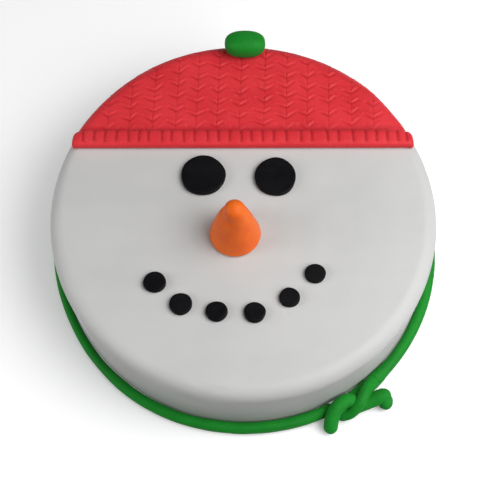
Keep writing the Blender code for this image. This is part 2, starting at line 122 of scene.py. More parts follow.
class Wiring:
    """Adds and joins the nodes of one shader or geometry tree."""

    def __init__(self, tree: bpy.types.NodeTree) -> None:
        """Start on a tree."""
        self.tree = tree

    def node(
        self,
        kind: str,
        *values: Value,
        named: Mapping[str, Value] | None = None,
        **settings: object,
    ) -> bpy.types.Node:
        """Add a node.

        Args:
            kind: the node's type name.
            values: what feeds its inputs in their order: a socket, a constant, or None to skip.
            named: what feeds the inputs of these names.
            settings: the node's own properties.

        Returns:
            The new node.
        """
        made = self.tree.nodes.new(kind)
        for name, setting in settings.items():
            setattr(made, name, setting)
        for socket, value in zip(made.inputs, values):
            self.feed(socket, value)
        self.fill(made, named or {})
        return made

    def feed(self, socket: Socket, value: Value) -> None:
        """Feed one input.

        Args:
            socket: the input.
            value: a socket to link, a constant to set, or None to leave it.
        """
        if isinstance(value, bpy.types.NodeSocket):
            self.tree.links.new(value, socket)
        elif value is not None:
            socket.default_value = value

    def fill(self, node: bpy.types.Node, named: Mapping[str, Value]) -> None:
        """Feed the inputs of these names on one node."""
        for name, value in named.items():
            self.feed(node.inputs[name], value)

    def maths(self, operation: str, *values: Value) -> Socket:
        """Return the result of a Math node with this operation."""
        return self.node("ShaderNodeMath", *values, operation=operation).outputs[0]

    def product(self, *values: Value) -> Socket:
        """Return the values multiplied together."""
        return reduce(lambda so_far, value: self.maths("MULTIPLY", so_far, value), values)

    def largest(self, *values: Value) -> Socket:
        """Return the largest of the values."""
        return reduce(lambda so_far, value: self.maths("MAXIMUM", so_far, value), values)

    def vector(self, operation: str, *values: Value) -> Socket:
        """Return the vector result of a Vector Math node with this operation."""
        return self.node("ShaderNodeVectorMath", *values, operation=operation).outputs["Vector"]

    def scaled(self, vector: Value, factor: Value) -> Socket:
        """Return a vector times a factor."""
        made = self.node("ShaderNodeVectorMath", vector, operation="SCALE", named={"Scale": factor})
        return made.outputs["Vector"]

    def part(self, vector: Socket, axis: str) -> Socket:
        """Return one of a vector's parts, X, Y or Z."""
        return self.node("ShaderNodeSeparateXYZ", vector).outputs[axis]

    def ramp(self, value: Value, low: Value, high: Value, start: Value, end: Value) -> Socket:
        """Ease a value from one range to another.

        Args:
            value: what is mapped.
            low: where the change starts.
            high: where it ends.
            start: the result at low.
            end: the result at high.

        Returns:
            The mapped value, held at the ends.
        """
        made = self.node(
            "ShaderNodeMapRange", value, low, high, start, end, interpolation_type="SMOOTHSTEP"
        )
        return made.outputs["Result"]

    def mixed(self, share: Value, first: Value, second: Value) -> Socket:
        """Return two colours mixed: the first at a share of 0, the second at 1."""
        colours = {"Factor": share, "A": first, "B": second}
        return self.node("ShaderNodeMix", data_type="RGBA", named=colours).outputs["Result"]

    def noise(self, at: Value, size: Value, detail: float, seed: Value = None) -> Socket:
        """Read a noise.

        Args:
            at: where it is read.
            size: how broad its features are.
            detail: how many finer layers it has.
            seed: which noise, or None for the plain one.

        Returns:
            Its value, about 0.5 in the middle of its range.
        """
        named = {"Vector": at, "Scale": self.maths("DIVIDE", 1.0, size), "Detail": detail}
        dimensions = "3D"
        if seed is not None:
            named["W"] = seed
            dimensions = "4D"
        made = self.node("ShaderNodeTexNoise", noise_dimensions=dimensions, named=named)
        return made.outputs["Fac"]

    def position(self) -> Socket:
        """Return the place of each point of the shape."""
        return self.node("GeometryNodeInputPosition").outputs[0]

    def normal(self) -> Socket:
        """Return the outward direction at each point of the shape."""
        return self.node("GeometryNodeInputNormal").outputs["Normal"]


Started = tuple[Wiring, Mapping[str, Socket], bpy.types.Node]


def new_tree(
    name: str, kind: str, inputs: Mapping[str, str], outputs: Mapping[str, str]
) -> Started:
    """Start a node group with named sockets.

    Args:
        name: the group's name.
        kind: "GeometryNodeTree" or "ShaderNodeTree".
        inputs: each input's name and socket kind, such as "Float".
        outputs: each output's name and socket kind.

    Returns:
        The wiring, the input sockets by name, and the group's output node.
    """
    tree = bpy.data.node_groups.new(name, kind)
    for in_out, sockets in (("INPUT", inputs), ("OUTPUT", outputs)):
        for socket, form in sockets.items():
            tree.interface.new_socket(
                name=socket, in_out=in_out, socket_type="NodeSocket" + form
            )
    wiring = Wiring(tree)
    given = wiring.node("NodeGroupInput")
    result = wiring.node("NodeGroupOutput")
    return wiring, {socket: given.outputs[socket] for socket in inputs}, result


def floats(*names: str) -> dict[str, str]:
    """Return these names as inputs that each take a number."""
    return dict.fromkeys(names, "Float")


def run_tree(
    obj: bpy.types.Object, tree: bpy.types.NodeTree, values: Mapping[str, object]
) -> bpy.types.Object:
    """Run a geometry tree on an object and keep the result as a plain mesh.

    Args:
        obj: the mesh or curve to work on. It is replaced.
        tree: the geometry tree.
        values: its inputs by name.

    Returns:
        A new object of the same name that holds the plain mesh.
    """
    modifier = obj.modifiers.new(tree.name, "NODES")
    modifier.node_group = tree
    for item in tree.interface.items_tree:
        if item.item_type == "SOCKET" and item.in_out == "INPUT" and item.name in values:
            modifier[item.identifier] = values[item.name]
    bpy.context.view_layer.update()
    evaluated = obj.evaluated_get(bpy.context.evaluated_depsgraph_get())
    mesh = bpy.data.meshes.new_from_object(evaluated)
    name = obj.name
    remove(obj)
    return place(name, mesh)


def place(name: str, data: bpy.types.ID) -> bpy.types.Object:
    """Link a new object at the origin.

    Args:
        name: the name of the object and of what it holds.
        data: the mesh, curve, lamp or camera that it holds.

    Returns:
        The object.
    """
    data.name = name
    obj = bpy.data.objects.new(name, data)
    bpy.context.scene.collection.objects.link(obj)
    return obj


def remove(*objects: bpy.types.Object) -> None:
    """Remove objects that have done their work."""
    for obj in objects:
        bpy.data.objects.remove(obj, do_unlink=True)


def mesh_of(
    points: Array | Route, faces: Faces | None = None, edges: Faces | None = None
) -> bpy.types.Mesh:
    """Make a mesh.

    Args:
        points: rows of X, Y and Z.
        faces: the faces, by the numbers of their points.
        edges: the loose edges, where it has some.

    Returns:
        The mesh.
    """
    mesh = bpy.data.meshes.new("sheet")
    mesh.from_pydata(np.asarray(points).tolist(), edges or [], faces or [])
    mesh.update()
    return mesh


def points_of(mesh: bpy.types.Mesh, what: str = "co") -> Array:
    """Read a mesh's points.

    Args:
        mesh: the mesh.
        what: "co" for their places, or "normal" for their outward directions.

    Returns:
        Rows of X, Y and Z.
    """
    flat = np.empty(len(mesh.vertices) * 3, np.float32)
    mesh.vertices.foreach_get(what, flat)
    return flat.reshape(-1, 3).astype(np.float64)


def move_points(mesh: bpy.types.Mesh, points: Array) -> None:
    """Give a mesh's points new places."""
    mesh.vertices.foreach_set("co", points.astype(np.float32).ravel())
    mesh.update()


def arc(middle: tuple[float, float], radius: float, start: float, end: float, steps: int) -> Array:
    """Return points along an arc.

    Args:
        middle: its middle, as distance and height.
        radius: its radius.
        start: the first angle in degrees.
        end: the last angle.
        steps: how many pieces.

    Returns:
        Rows of distance and height.
    """
    angles = np.radians(np.linspace(start, end, steps + 1))
    return np.column_stack(
        [middle[0] + radius * np.cos(angles), middle[1] + radius * np.sin(angles)]
    )


def ease(share: Array) -> Array:
    """Return shares from 0 to 1 with a soft start and end."""
    return share**2 * (3 - 2 * share)


def angles_of(points: Array) -> Array:
    """Return the angle of each point round Z."""
    return np.arctan2(points[:, 1], points[:, 0])


def skin(first: Array, rings: Sequence[Array], last: Array) -> tuple[Array, Faces]:
    """Close a row of rings with a point at each end.

    Args:
        first: the point before the first ring.
        rings: rings of equally many points, anticlockwise as seen from the first point.
        last: the point after the last ring.

    Returns:
        The points and the outward faces.
    """
    steps = len(rings[0])
    points = np.concatenate([[first], *rings, [last]])
    end = len(points) - 1
    faces: Faces = []
    for step in range(steps):
        after = (step + 1) % steps
        faces.append((0, 1 + step, 1 + after))
        faces.append((end, end - steps + after, end - steps + step))
    for ring in range(1, end - steps, steps):
        for step in range(steps):
            after = (step + 1) % steps
            faces.append((ring + step, ring + steps + step, ring + steps + after, ring + after))
    return points, faces


def flat_top(radius: float, height: float, step: float) -> Array:
    """Draw the start of a profile: a flat top.

    Args:
        radius: where it ends.
        height: how high it lies.
        step: about how far apart its points are.

    Returns:
        Rows of radius and height, from the axis.
    """
    flat = np.linspace(0, radius, round(radius / step))
    return np.column_stack([flat, np.full(len(flat), height)])


def flat_base(radius: float) -> Array:
    """Return the end of a profile: a flat base inside this radius, as far as the axis."""
    return np.array([[radius / 2, 0.0], [0.0, 0.0]])


def turned(profile: Array, steps: int) -> tuple[Array, Faces]:
    """Turn a profile round Z into a closed skin.

    Args:
        profile: rows of radius and height, from the axis at the top to the axis at the base.
        steps: facets round the axis.

    Returns:
        The points and the outward faces.
    """
    angles = np.linspace(0, 2 * math.pi, steps, endpoint=False)
    around = np.column_stack([np.cos(angles), np.sin(angles)])
    rings = [
        np.column_stack([radius * around, np.full(steps, height)])
        for radius, height in profile[1:-1]
    ]
    top, base = (np.array([0.0, 0.0, height]) for height in profile[[0, -1], 1])
    return skin(top, rings, base)


@dataclass(frozen=True)
class CakeForm:
    """The hand-trimmed round that every piece is laid on.

    It is a little narrower in X and fuller towards its chin.
    """

    radius: float = 130.4 * MM
    height: float = 61.8 * MM
    shoulder: float = 10.0 * MM
    taper: float = 0.8 * MM
    foot: float = 1.5 * MM
    oval: float = 0.0071
    skew: float = 0.0040
    forward: float = 0.0093

    @property
    def inner(self) -> float:
        """The radius of the flat top, before its edge rounds over."""
        return self.radius - self.shoulder

    @property
    def bend(self) -> float:
        """The length over the rounded edge."""
        return self.shoulder * math.pi / 2

    def stretch(self, angle: Array | float) -> Array:
        """Return the radius at an angle round Z, as a share of the mean."""
        oval = self.oval * np.cos(2 * angle) + self.skew * np.sin(2 * angle)
        return 1 - oval - self.forward * np.sin(angle)

    def reach(self, plan: Array) -> Array:
        """Return how far points lie from the middle, as if the round were true."""
        return np.hypot(plan[:, 0], plan[:, 1]) / self.stretch(angles_of(plan))

    def drape(self, plan: Array, cover: Array | float) -> Array:
        """Lay the points of a flat sheet over the top, its rounded edge and the side.

        Args:
            plan: rows of X and Y on the flat sheet.
            cover: how far above the icing each point lies.

        Returns:
            Rows of X, Y and Z.
        """
        angle = angles_of(plan)
        beyond = self.reach(plan) - self.inner
        turn = np.clip(beyond / self.shoulder, 0, math.pi / 2)
        over = self.inner + (self.shoulder + cover) * np.sin(turn)
        radial = np.where(beyond > 0, over, beyond + self.inner)
        level = self.height - self.shoulder + (self.shoulder + cover) * np.cos(turn)
        level = level - np.maximum(beyond - self.bend, 0)
        radial = radial * self.stretch(angle)
        return np.column_stack([radial * np.cos(angle), radial * np.sin(angle), level])

    def drop(self, x: Array, y: Array, cover: float) -> Array:
        """Find how far the rounded edge lies below the top.

        Args:
            x: the places across.
            y: the places along.
            cover: the thickness of the sheet on it.

        Returns:
            The drop at each place.
        """
        beyond = np.maximum(self.reach(np.column_stack([x, y])) - self.inner, 0)
        radius = self.shoulder + cover
        return radius - np.sqrt(np.maximum(radius**2 - beyond**2, 0))


FORM = CakeForm()


class TreeShelf:
    """Node trees that are each built once, the first time they are asked for."""

    made: ClassVar[dict[str, bpy.types.NodeTree]] = {}

    @classmethod
    def get(cls, name: str) -> bpy.types.NodeTree:
        """Return a tree by its name.

        Args:
            name: its name, such as "paste grain", which is built by the method paste_grain.

        Returns:
            The tree.
        """
        if name not in cls.made:
            build = getattr(cls, name.replace(" ", "_"))
            cls.made[name] = build(name)
        return cls.made[name]


class PasteEffects(TreeShelf):
    """The shader groups that every paste shares."""

    CLOUD_EDGES = (0.32, 0.68)  # the noise where a cloud starts and where it is full
    FLECK_EDGES = (0.55, 0.72)
    PATCH_EDGES = (0.45, 0.75)
    PATCH_SIZE = 18 * MM  # the broad patches in which the flecks of icing sugar lie
    PATCH_LEAST = 0.25  # how many flecks lie outside the patches, as a share
    STREAK_STRETCH = (1.0, 4.0, 1.0)

    @staticmethod
    def paste_grain(name: str) -> bpy.types.NodeTree:
        """Build the fine skin of rolled paste: soft pores, and shallow smoothing marks.

        Args:
            name: the group's name.

        Returns:
            The group.
        """
        inputs = {"Place": "Vector", **floats("Pore Size", "Pore Depth", "Mark Size", "Mark Depth")}
        wiring, given, result = new_tree(name, "ShaderNodeTree", inputs, floats("Height"))
        pores = wiring.noise(given["Place"], given["Pore Size"], 3.0)
        marks = wiring.noise(given["Place"], given["Mark Size"], 1.0)
        height = wiring.maths(
            "ADD",
            wiring.product(pores, given["Pore Depth"]),
            wiring.product(marks, given["Mark Depth"]),
        )
        wiring.feed(result.inputs["Height"], height)
        return wiring.tree

    @staticmethod
    def hand_tone(name: str) -> bpy.types.NodeTree:
        """Build the uneven colour of hand-kneaded paste: broad clouds and faint streaks.

        Args:
            name: the group's name.

        Returns:
            The group.
        """
        wiring, given, result = new_tree(
            name,
            "ShaderNodeTree",
            {"Place": "Vector", "Light": "Color", "Deep": "Color", **floats("Cloud Size", "Streak")},
            {"Color": "Color", "Cloud": "Float"},
        )
        cloud = wiring.noise(given["Place"], given["Cloud Size"], 3.0)
        drawn = wiring.vector("MULTIPLY", given["Place"], PasteEffects.STREAK_STRETCH)
        streak = wiring.noise(drawn, given["Cloud Size"], 4.0)
        blend = wiring.maths(
            "ADD",
            wiring.product(cloud, wiring.maths("SUBTRACT", 1.0, given["Streak"])),
            wiring.product(streak, given["Streak"]),
        )
        mask = wiring.ramp(blend, *PasteEffects.CLOUD_EDGES, 0.0, 1.0)
        colour = wiring.mixed(mask, given["Deep"], given["Light"])
        wiring.fill(result, {"Color": colour, "Cloud": mask})
        return wiring.tree

    @staticmethod
    def dusting(name: str) -> bpy.types.NodeTree:
        """Build the traces of icing sugar: a colour lightened in small scattered patches.

        Args:
            name: the group's name.

        Returns:
            The group.
        """
        wiring, given, result = new_tree(
            name,
            "ShaderNodeTree",
            {"Place": "Vector", "Color": "Color", "Dust": "Color", **floats("Amount", "Fleck Size")},
            {"Color": "Color", "Mask": "Float"},
        )
        broad = wiring.noise(given["Place"], PasteEffects.PATCH_SIZE, 2.0)
        fleck = wiring.noise(given["Place"], given["Fleck Size"], 2.0)
        mask = wiring.product(
            wiring.ramp(fleck, *PasteEffects.FLECK_EDGES, 0.0, 1.0),
            wiring.ramp(broad, *PasteEffects.PATCH_EDGES, PasteEffects.PATCH_LEAST, 1.0),
            given["Amount"],
        )
        colour = wiring.mixed(mask, given["Color"], given["Dust"])
        wiring.fill(result, {"Color": colour, "Mask": mask})
        return wiring.tree


@dataclass(frozen=True)
class PasteFinish:
    """One colour of sugar paste: its tones, its sheen and how finely it was worked."""

    paste: Paste
    light: tuple[float, float, float]
    deep: tuple[float, float, float]
    dust: tuple[float, float, float] = (0.8, 0.8, 0.8)
    dust_amount: float = 0.0
    dust_roughness: float = 0.25
    fleck_size: float = 1.4 * MM
    cloud_size: float = 30 * MM
    streak: float = 0.3
    roughness: float = 0.55
    roughness_swing: float = 0.08
    specular: float = 0.22
    sheen: float = 0.03
    sheen_roughness: float = 0.5
    pore_size: float = 0.9 * MM
    pore_depth: float = 0.10 * MM
    mark_size: float = 9 * MM
    mark_depth: float = 0.25 * MM
    # The colours where a tool pressed the paste, partly its own deeper tone and partly painted shade
    # in the grooves, slits and the crease under the brim, and the paler colour painted as a
    # highlight on its ridges
    pressed: tuple[float, float, float] | None = None
    ridge_highlight: tuple[float, float, float] = (0.8, 0.8, 0.8)

    def material(self) -> bpy.types.Material:
        """Build the procedural material.

        Returns:
            The material, named for its slot.
        """
        made = bpy.data.materials.new(self.paste.value)
        made.use_nodes = True
        made.diffuse_color = (*self.light, 1.0)
        wiring = Wiring(made.node_tree)
        at = wiring.node("ShaderNodeTexCoord").outputs["Object"]
        light, deep, dust = ((*shade, 1.0) for shade in (self.light, self.deep, self.dust))
        tone = self._group(wiring, "hand tone", at, light, deep, self.cloud_size, self.streak)
        colour = tone.outputs["Color"]
        if self.pressed is not None:
            colour = self._press(wiring, colour)
        dusted = self._group(
            wiring, "dusting", at, colour, dust, self.dust_amount, self.fleck_size
        )
        grain = self._group(
            wiring, "paste grain", at, self.pore_size, self.pore_depth, self.mark_size,
            self.mark_depth,
        )
        smooth, rough = (self.roughness + side * self.roughness_swing for side in (-1, 1))
        rough = wiring.maths(
            "ADD",
            wiring.ramp(tone.outputs["Cloud"], 0.0, 1.0, smooth, rough),
            wiring.product(dusted.outputs["Mask"], self.dust_roughness),
        )
        relief = {"Strength": 1.0, "Distance": 1.0, "Height": grain.outputs["Height"]}
        wiring.fill(made.node_tree.nodes["Principled BSDF"], {
            "Base Color": dusted.outputs["Color"],
            "Roughness": rough,
            "Normal": wiring.node("ShaderNodeBump", named=relief).outputs["Normal"],
            "Specular IOR Level": self.specular,
            "Sheen Weight": self.sheen,
            "Sheen Roughness": self.sheen_roughness,
        })
        return made

    @staticmethod
    def _group(wiring: Wiring, name: str, *values: Value) -> bpy.types.Node:
        """Place a shared group.

        Args:
            wiring: the material's wiring.
            name: the group's name.
            values: what feeds its inputs, in their order.

        Returns:
            The group's node.
        """
        made = wiring.node("ShaderNodeGroup", node_tree=PasteEffects.get(name))
        for socket, value in zip(made.inputs, values):
            wiring.feed(socket, value)
        return made

    def _press(self, wiring: Wiring, colour: Socket) -> Socket:
        """Deepen the colour where a tool pressed the paste, partly its own deeper tone and partly
        painted shade, and paint a highlight on a ridge.

        Args:
            wiring: the material's wiring.
            colour: the paste's own colour.

        Returns:
            The colour with the marks, the painted shade and the painted highlight.
        """
        mark = wiring.node("ShaderNodeAttribute", attribute_name=MARK_AND_PAINTED_LIGHT).outputs["Fac"]
        for side, shade in ((1.0, self.pressed), (-1.0, self.ridge_highlight)):
            colour = wiring.mixed(wiring.product(mark, side), colour, (*shade, 1.0))
        return colour


class HandWork(TreeShelf):
    """The geometry trees of the maker's hands and tools."""

    # Where a V's groove and the ridge above it lie beside the tool's path: the middle and the half
    # width of each, in widths of the tool
    GROOVE = (-0.3, 1.4)
    RIDGE = (1.35, 1.6)
    ARM_FADE = (2.0, 6.5, 0.35)  # a V's arm fades from here to here, to this share, in tool widths
    LINE_FADE = (1.0, 4.5, 0.6)  # and so does the ruled line, away from each V
    BEND_SHARE = 0.3  # what is left of the marks where the sheet has bent down
    ARM_SIZES = (0.78, 1.12)
    PIT_WIDTH = 1.2  # radius of the dint where a V starts, in widths of the tool
    WORN_LENGTH = 1 / 0.12  # length of a faint stretch of a ruled line, in widths of the tool
    WORN_EDGES = (0.35, 0.6)
    WORN_SHARE = 0.45
    RIGHT_GROOVE = 0.7  # the right arms are pressed less deep
    LINE_TONE = 0.8  # how strongly a ruled line and a groove take the pressed colour, partly the pressed paste's deeper tone and partly painted shade
    GROOVE_TONE = 0.85
    RIDGE_HIGHLIGHTS = (1.5, 0.25)  # how strongly the left and the right ridges take the painted highlight
    SWELL_REACH = 0.45  # from a blade mark to the top of the swelling, in pitches
    MERGE = 0.01 * MM

    @staticmethod
    def _start(name: str, inputs: Mapping[str, str]) -> Started:
        """Start a tree that works on a shape and gives it its material.

        Args:
            name: the tree's name.
            inputs: the name and socket kind of each of its other inputs.

        Returns:
            The wiring, the input sockets by name, and the tree's output node.
        """
        shape = {"Geometry": "Geometry"}
        return new_tree(
            name, "GeometryNodeTree", {**shape, **inputs, "Material": "Material"}, shape
        )

    @staticmethod
    def _end(started: Started, shape: Value, offset: Value) -> bpy.types.NodeTree:
        """End a tree: move the points, make real geometry, smooth it and give the material.

        Args:
            started: what _start returned.
            shape: the shape.
            offset: how far each of its points moves.

        Returns:
            The tree.
        """
        wiring, given, result = started
        moved = wiring.node("GeometryNodeSetPosition", shape, named={"Offset": offset})
        real = wiring.node("GeometryNodeRealizeInstances", moved.outputs[0])
        smooth = wiring.node("GeometryNodeSetShadeSmooth", real.outputs[0])
        dressed = wiring.node(
            "GeometryNodeSetMaterial", smooth.outputs[0], named={"Material": given["Material"]}
        )
        wiring.feed(result.inputs["Geometry"], dressed.outputs[0])
        return wiring.tree

    @staticmethod
    def _unevenness(wiring: Wiring, given: Mapping[str, Socket]) -> Socket:
        """Swell and sink a surface by the tree's Depth.

        Args:
            wiring: the tree's wiring.
            given: the tree's inputs.

        Returns:
            The offset of each point along its normal.
        """
        noise = wiring.noise(wiring.position(), given["Size"], 1.0, given["Seed"])
        swing = wiring.product(wiring.maths("SUBTRACT", noise, 0.5), 2.0, given["Depth"])
        return wiring.scaled(wiring.normal(), swing)

    @staticmethod
    def _guide(wiring: Wiring, source: Value) -> Socket:
        """Return the geometry of a guide object."""
        return wiring.node("GeometryNodeObjectInfo", source).outputs["Geometry"]

    @staticmethod
    def _near(wiring: Wiring, target: Value, element: str) -> bpy.types.Node:
        """Return the node that finds the nearest of a target's POINTS, EDGES or FACES."""
        return wiring.node("GeometryNodeProximity", target, target_element=element)

    @staticmethod
    def _scattered(
        wiring: Wiring, points: Value, shape: Value, swing: Value, seed: Value, **placing: Value
    ) -> Socket:
        """Put a shape on each point, each turned a little by hand.

        Args:
            wiring: the tree's wiring.
            points: where the shapes go.
            shape: the shape.
            swing: how far it may be turned round Z, to either side, in radians.
            seed: which turns.
            placing: other inputs of the node that places them.

        Returns:
            The placed shapes.
        """
        range_of = {"Min": wiring.product(swing, -1.0), "Max": swing, "Seed": seed}
        turn = wiring.node("FunctionNodeRandomValue", data_type="FLOAT", named=range_of)
        angle = wiring.node("ShaderNodeCombineXYZ", 0.0, 0.0, turn.outputs["Value"]).outputs[0]
        named = {"Points": points, "Instance": shape, "Rotation": angle, **placing}
        return wiring.node("GeometryNodeInstanceOnPoints", named=named).outputs[0]

    @staticmethod
    def smoothed_by_hand(name: str) -> bpy.types.NodeTree:
        """Build the tree that gives a shape the soft unevenness of handling.

        Args:
            name: the tree's name.

        Returns:
            The tree.
        """
        inputs = floats("Depth", "Size", "Seed", "Rest Height", "Fade")
        started = wiring, given, _ = HandWork._start(name, inputs)
        offset = HandWork._unevenness(wiring, given)
        level = wiring.part(wiring.position(), "Z")
        above = wiring.maths("SUBTRACT", level, given["Rest Height"])
        free = wiring.ramp(above, 0.0, given["Fade"], 0.0, 1.0)
        return HandWork._end(started, given["Geometry"], wiring.scaled(offset, free))

    @staticmethod
    def _arms(wiring: Wiring, given: Mapping[str, Socket]) -> Socket:
        """Draw the two arms of each V as edges.

        Args:
            wiring: the stitch tree's wiring.
            given: its inputs.

        Returns:
            The edges.
        """
        joined = wiring.node("GeometryNodeJoinGeometry")
        for number, side in enumerate(("Left Arm", "Right Arm"), start=1):
            arm = wiring.node("GeometryNodeCurvePrimitiveLine", (0.0, 0.0, 0.0), given[side])
            seed = wiring.maths("ADD", given["Seed"], float(number))
            least, most = HandWork.ARM_SIZES
            sizes = {"Min": least, "Max": most, "Seed": wiring.maths("ADD", seed, 10.0)}
            size = wiring.node("FunctionNodeRandomValue", data_type="FLOAT", named=sizes)
            placed = HandWork._scattered(
                wiring, HandWork._guide(wiring, given["Rows"]), arm.outputs[0],
                given["Unevenness"], seed, Scale=size.outputs["Value"],
            )
            wiring.tree.links.new(placed, joined.inputs[0])
        real = wiring.node("GeometryNodeRealizeInstances", joined.outputs[0])
        return wiring.node("GeometryNodeCurveToMesh", real.outputs[0]).outputs[0]

    @staticmethod
    def pressed_stitches(name: str) -> bpy.types.NodeTree:
        """Build the tree that rules the knit lines and presses a V at each row of each line.

        Args:
            name: the tree's name.

        Returns:
            The tree.
        """
        started = wiring, given, _ = HandWork._start(name, {
            "Lines": "Object", "Rows": "Object", "Left Arm": "Vector", "Right Arm": "Vector",
            **floats(
                "Line Width", "Line Depth", "Arm Width", "Arm Depth", "Ridge Height", "Pit Depth",
                "Bend From", "Bend To", "Unevenness",
            ),
            "Seed": "Int",
        })
        at = wiring.position()
        line = HandWork._near(wiring, HandWork._guide(wiring, given["Lines"]), "EDGES")
        arm = HandWork._near(wiring, HandWork._arms(wiring, given), "EDGES")
        start = HandWork._near(wiring, HandWork._guide(wiring, given["Rows"]), "POINTS")
        off_line, off_start = line.outputs["Distance"], start.outputs["Distance"]
        above = wiring.part(wiring.vector("SUBTRACT", at, arm.outputs["Position"]), "Y")
        off_arm = wiring.product(arm.outputs["Distance"], wiring.maths("SIGN", above))
        across = wiring.part(wiring.vector("SUBTRACT", at, line.outputs["Position"]), "X")
        flat = wiring.vector("MULTIPLY", at, (1.0, 1.0, 0.0))
        reach = wiring.node("ShaderNodeVectorMath", flat, operation="LENGTH").outputs["Value"]
        bent = wiring.ramp(reach, given["Bend From"], given["Bend To"], 1.0, HandWork.BEND_SHARE)
        arm_fade = wiring.product(HandWork._fade(wiring, off_line, given, HandWork.ARM_FADE), bent)
        groove = wiring.product(
            HandWork._band(wiring, off_arm, given, HandWork.GROOVE), arm_fade,
            wiring.ramp(across, -MM, MM, 1.0, HandWork.RIGHT_GROOVE),
        )
        worn = wiring.noise(at, wiring.product(given["Arm Width"], HandWork.WORN_LENGTH), 2.0)
        ruled = wiring.product(
            wiring.ramp(off_line, 0.0, given["Line Width"], 1.0, 0.0),
            wiring.ramp(worn, *HandWork.WORN_EDGES, HandWork.WORN_SHARE, 1.0),
            HandWork._fade(wiring, off_start, given, HandWork.LINE_FADE),
            bent,
        )
        pit = HandWork._band(wiring, off_start, given, (0.0, HandWork.PIT_WIDTH))
        ridge = wiring.product(
            HandWork._band(wiring, off_arm, given, HandWork.RIDGE), arm_fade,
            wiring.maths("SUBTRACT", 1.0, ruled),
        )
        depth = wiring.largest(
            wiring.product(ruled, given["Line Depth"]),
            wiring.product(groove, given["Arm Depth"]),
            wiring.product(pit, given["Pit Depth"]),
        )
        rise = wiring.maths("SUBTRACT", wiring.product(ridge, given["Ridge Height"]), depth)
        # The colour marks: painted shade in the ruled lines, grooves and pits on top of the pressed
        # paste's deeper tone, and a painted highlight on the ridges, far stronger on the left ones
        pressed = wiring.largest(
            wiring.product(ruled, HandWork.LINE_TONE), pit,
            wiring.product(groove, HandWork.GROOVE_TONE),
        )
        painted_ridge_highlight = wiring.product(ridge, wiring.ramp(across, -MM, MM, *HandWork.RIDGE_HIGHLIGHTS))
        tone = wiring.maths("SUBTRACT", pressed, painted_ridge_highlight)
        stored = HandWork._store(wiring, given["Geometry"], tone)
        offset = wiring.node("ShaderNodeCombineXYZ", 0.0, 0.0, rise).outputs[0]
        return HandWork._end(started, stored, offset)

    @staticmethod
    def _band(
        wiring: Wiring, distance: Socket, given: Mapping[str, Socket], band: tuple[float, float]
    ) -> Socket:
        """Return a soft band beside a path: 1 at its middle and 0 at its edges.

        Args:
            wiring: the stitch tree's wiring.
            distance: the distance from the path, negative on one side.
            given: the tree's inputs.
            band: its middle and its half width, in widths of the tool.

        Returns:
            The band.
        """
        middle, half = (wiring.product(given["Arm Width"], size) for size in band)
        away = wiring.maths("ABSOLUTE", wiring.maths("SUBTRACT", distance, middle))
        return wiring.ramp(away, 0.0, half, 1.0, 0.0)

    @staticmethod
    def _fade(
        wiring: Wiring,
        distance: Socket,
        given: Mapping[str, Socket],
        fade: tuple[float, float, float],
    ) -> Socket:
        """Return a share that falls from 1 with the distance.

        Args:
            wiring: the stitch tree's wiring.
            distance: the distance.
            given: the tree's inputs.
            fade: where it starts and ends, in widths of the tool, and what is left there.

        Returns:
            The share.
        """
        near, far = (wiring.product(given["Arm Width"], size) for size in fade[:2])
        return wiring.ramp(distance, near, far, 1.0, fade[2])

    @staticmethod
    def _store(wiring: Wiring, shape: Value, value: Value) -> Socket:
        """Store the tool's mark, which also carries painted shade and highlight, for the material to
        read.

        Args:
            wiring: the tree's wiring.
            shape: the shape.
            value: the mark at each of its points.

        Returns:
            The shape with the mark.
        """
        named = {"Name": MARK_AND_PAINTED_LIGHT, "Value": value}
        return wiring.node(
            "GeometryNodeStoreNamedAttribute", shape, data_type="FLOAT", domain="POINT", named=named
        ).outputs[0]

    @staticmethod
    def pressed_ribs(name: str) -> bpy.types.NodeTree:
        """Build the tree that cuts a row of blade marks across a roll and swells it between.

        Args:
            name: the tree's name.

        Returns:
            The tree.
        """
        sizes = floats("Blade Length", "Cut Width", "Cut Depth", "Swell", "Pitch", "Slant")
        started = wiring, given, _ = HandWork._start(
            name, {"Places": "Object", **sizes, "Seed": "Int"}
        )
        length = given["Blade Length"]
        blade = wiring.node("GeometryNodeMeshGrid", length, length, 2, 2).outputs[0]
        upright = wiring.node(
            "GeometryNodeTransform", blade, named={"Rotation": (0.0, math.pi / 2, 0.0)}
        )
        placed = HandWork._scattered(
            wiring, HandWork._guide(wiring, given["Places"]), upright.outputs[0],
            given["Slant"], given["Seed"],
        )
        blades = wiring.node("GeometryNodeRealizeInstances", placed).outputs[0]
        distance = HandWork._near(wiring, blades, "FACES").outputs["Distance"]
        cut = wiring.ramp(distance, 0.0, given["Cut Width"], 1.0, 0.0)
        between = wiring.product(given["Pitch"], HandWork.SWELL_REACH)
        swell = wiring.ramp(distance, 0.0, between, 0.0, given["Swell"])
        rise = wiring.maths("SUBTRACT", swell, wiring.product(cut, given["Cut Depth"]))
        # The slits take the pressed colour: partly the cut paste's deeper tone, partly painted shade
        # in the slits
        stored = HandWork._store(wiring, given["Geometry"], cut)
        return HandWork._end(started, stored, wiring.scaled(wiring.normal(), rise))

    @staticmethod
    def rolled_rope(name: str) -> bpy.types.NodeTree:
        """Build the tree that rolls a rope of paste along a curve.

        Args:
            name: the tree's name.

        Returns:
            The tree.
        """
        inputs = {"Sides": "Int", **floats("Depth", "Size", "Seed")}
        started = wiring, given, _ = HandWork._start(name, inputs)
        section = wiring.node(
            "GeometryNodeCurvePrimitiveCircle", given["Sides"], named={"Radius": 1.0}
        )
        radius = wiring.node("GeometryNodeInputRadius").outputs[0]
        tube = wiring.node(
            "GeometryNodeCurveToMesh", given["Geometry"], section.outputs[0],
            named={"Scale": radius, "Fill Caps": True},
        )
        merged = wiring.node(
            "GeometryNodeMergeByDistance", tube.outputs[0], named={"Distance": HandWork.MERGE}
        )
        return HandWork._end(started, merged.outputs[0], HandWork._unevenness(wiring, given))


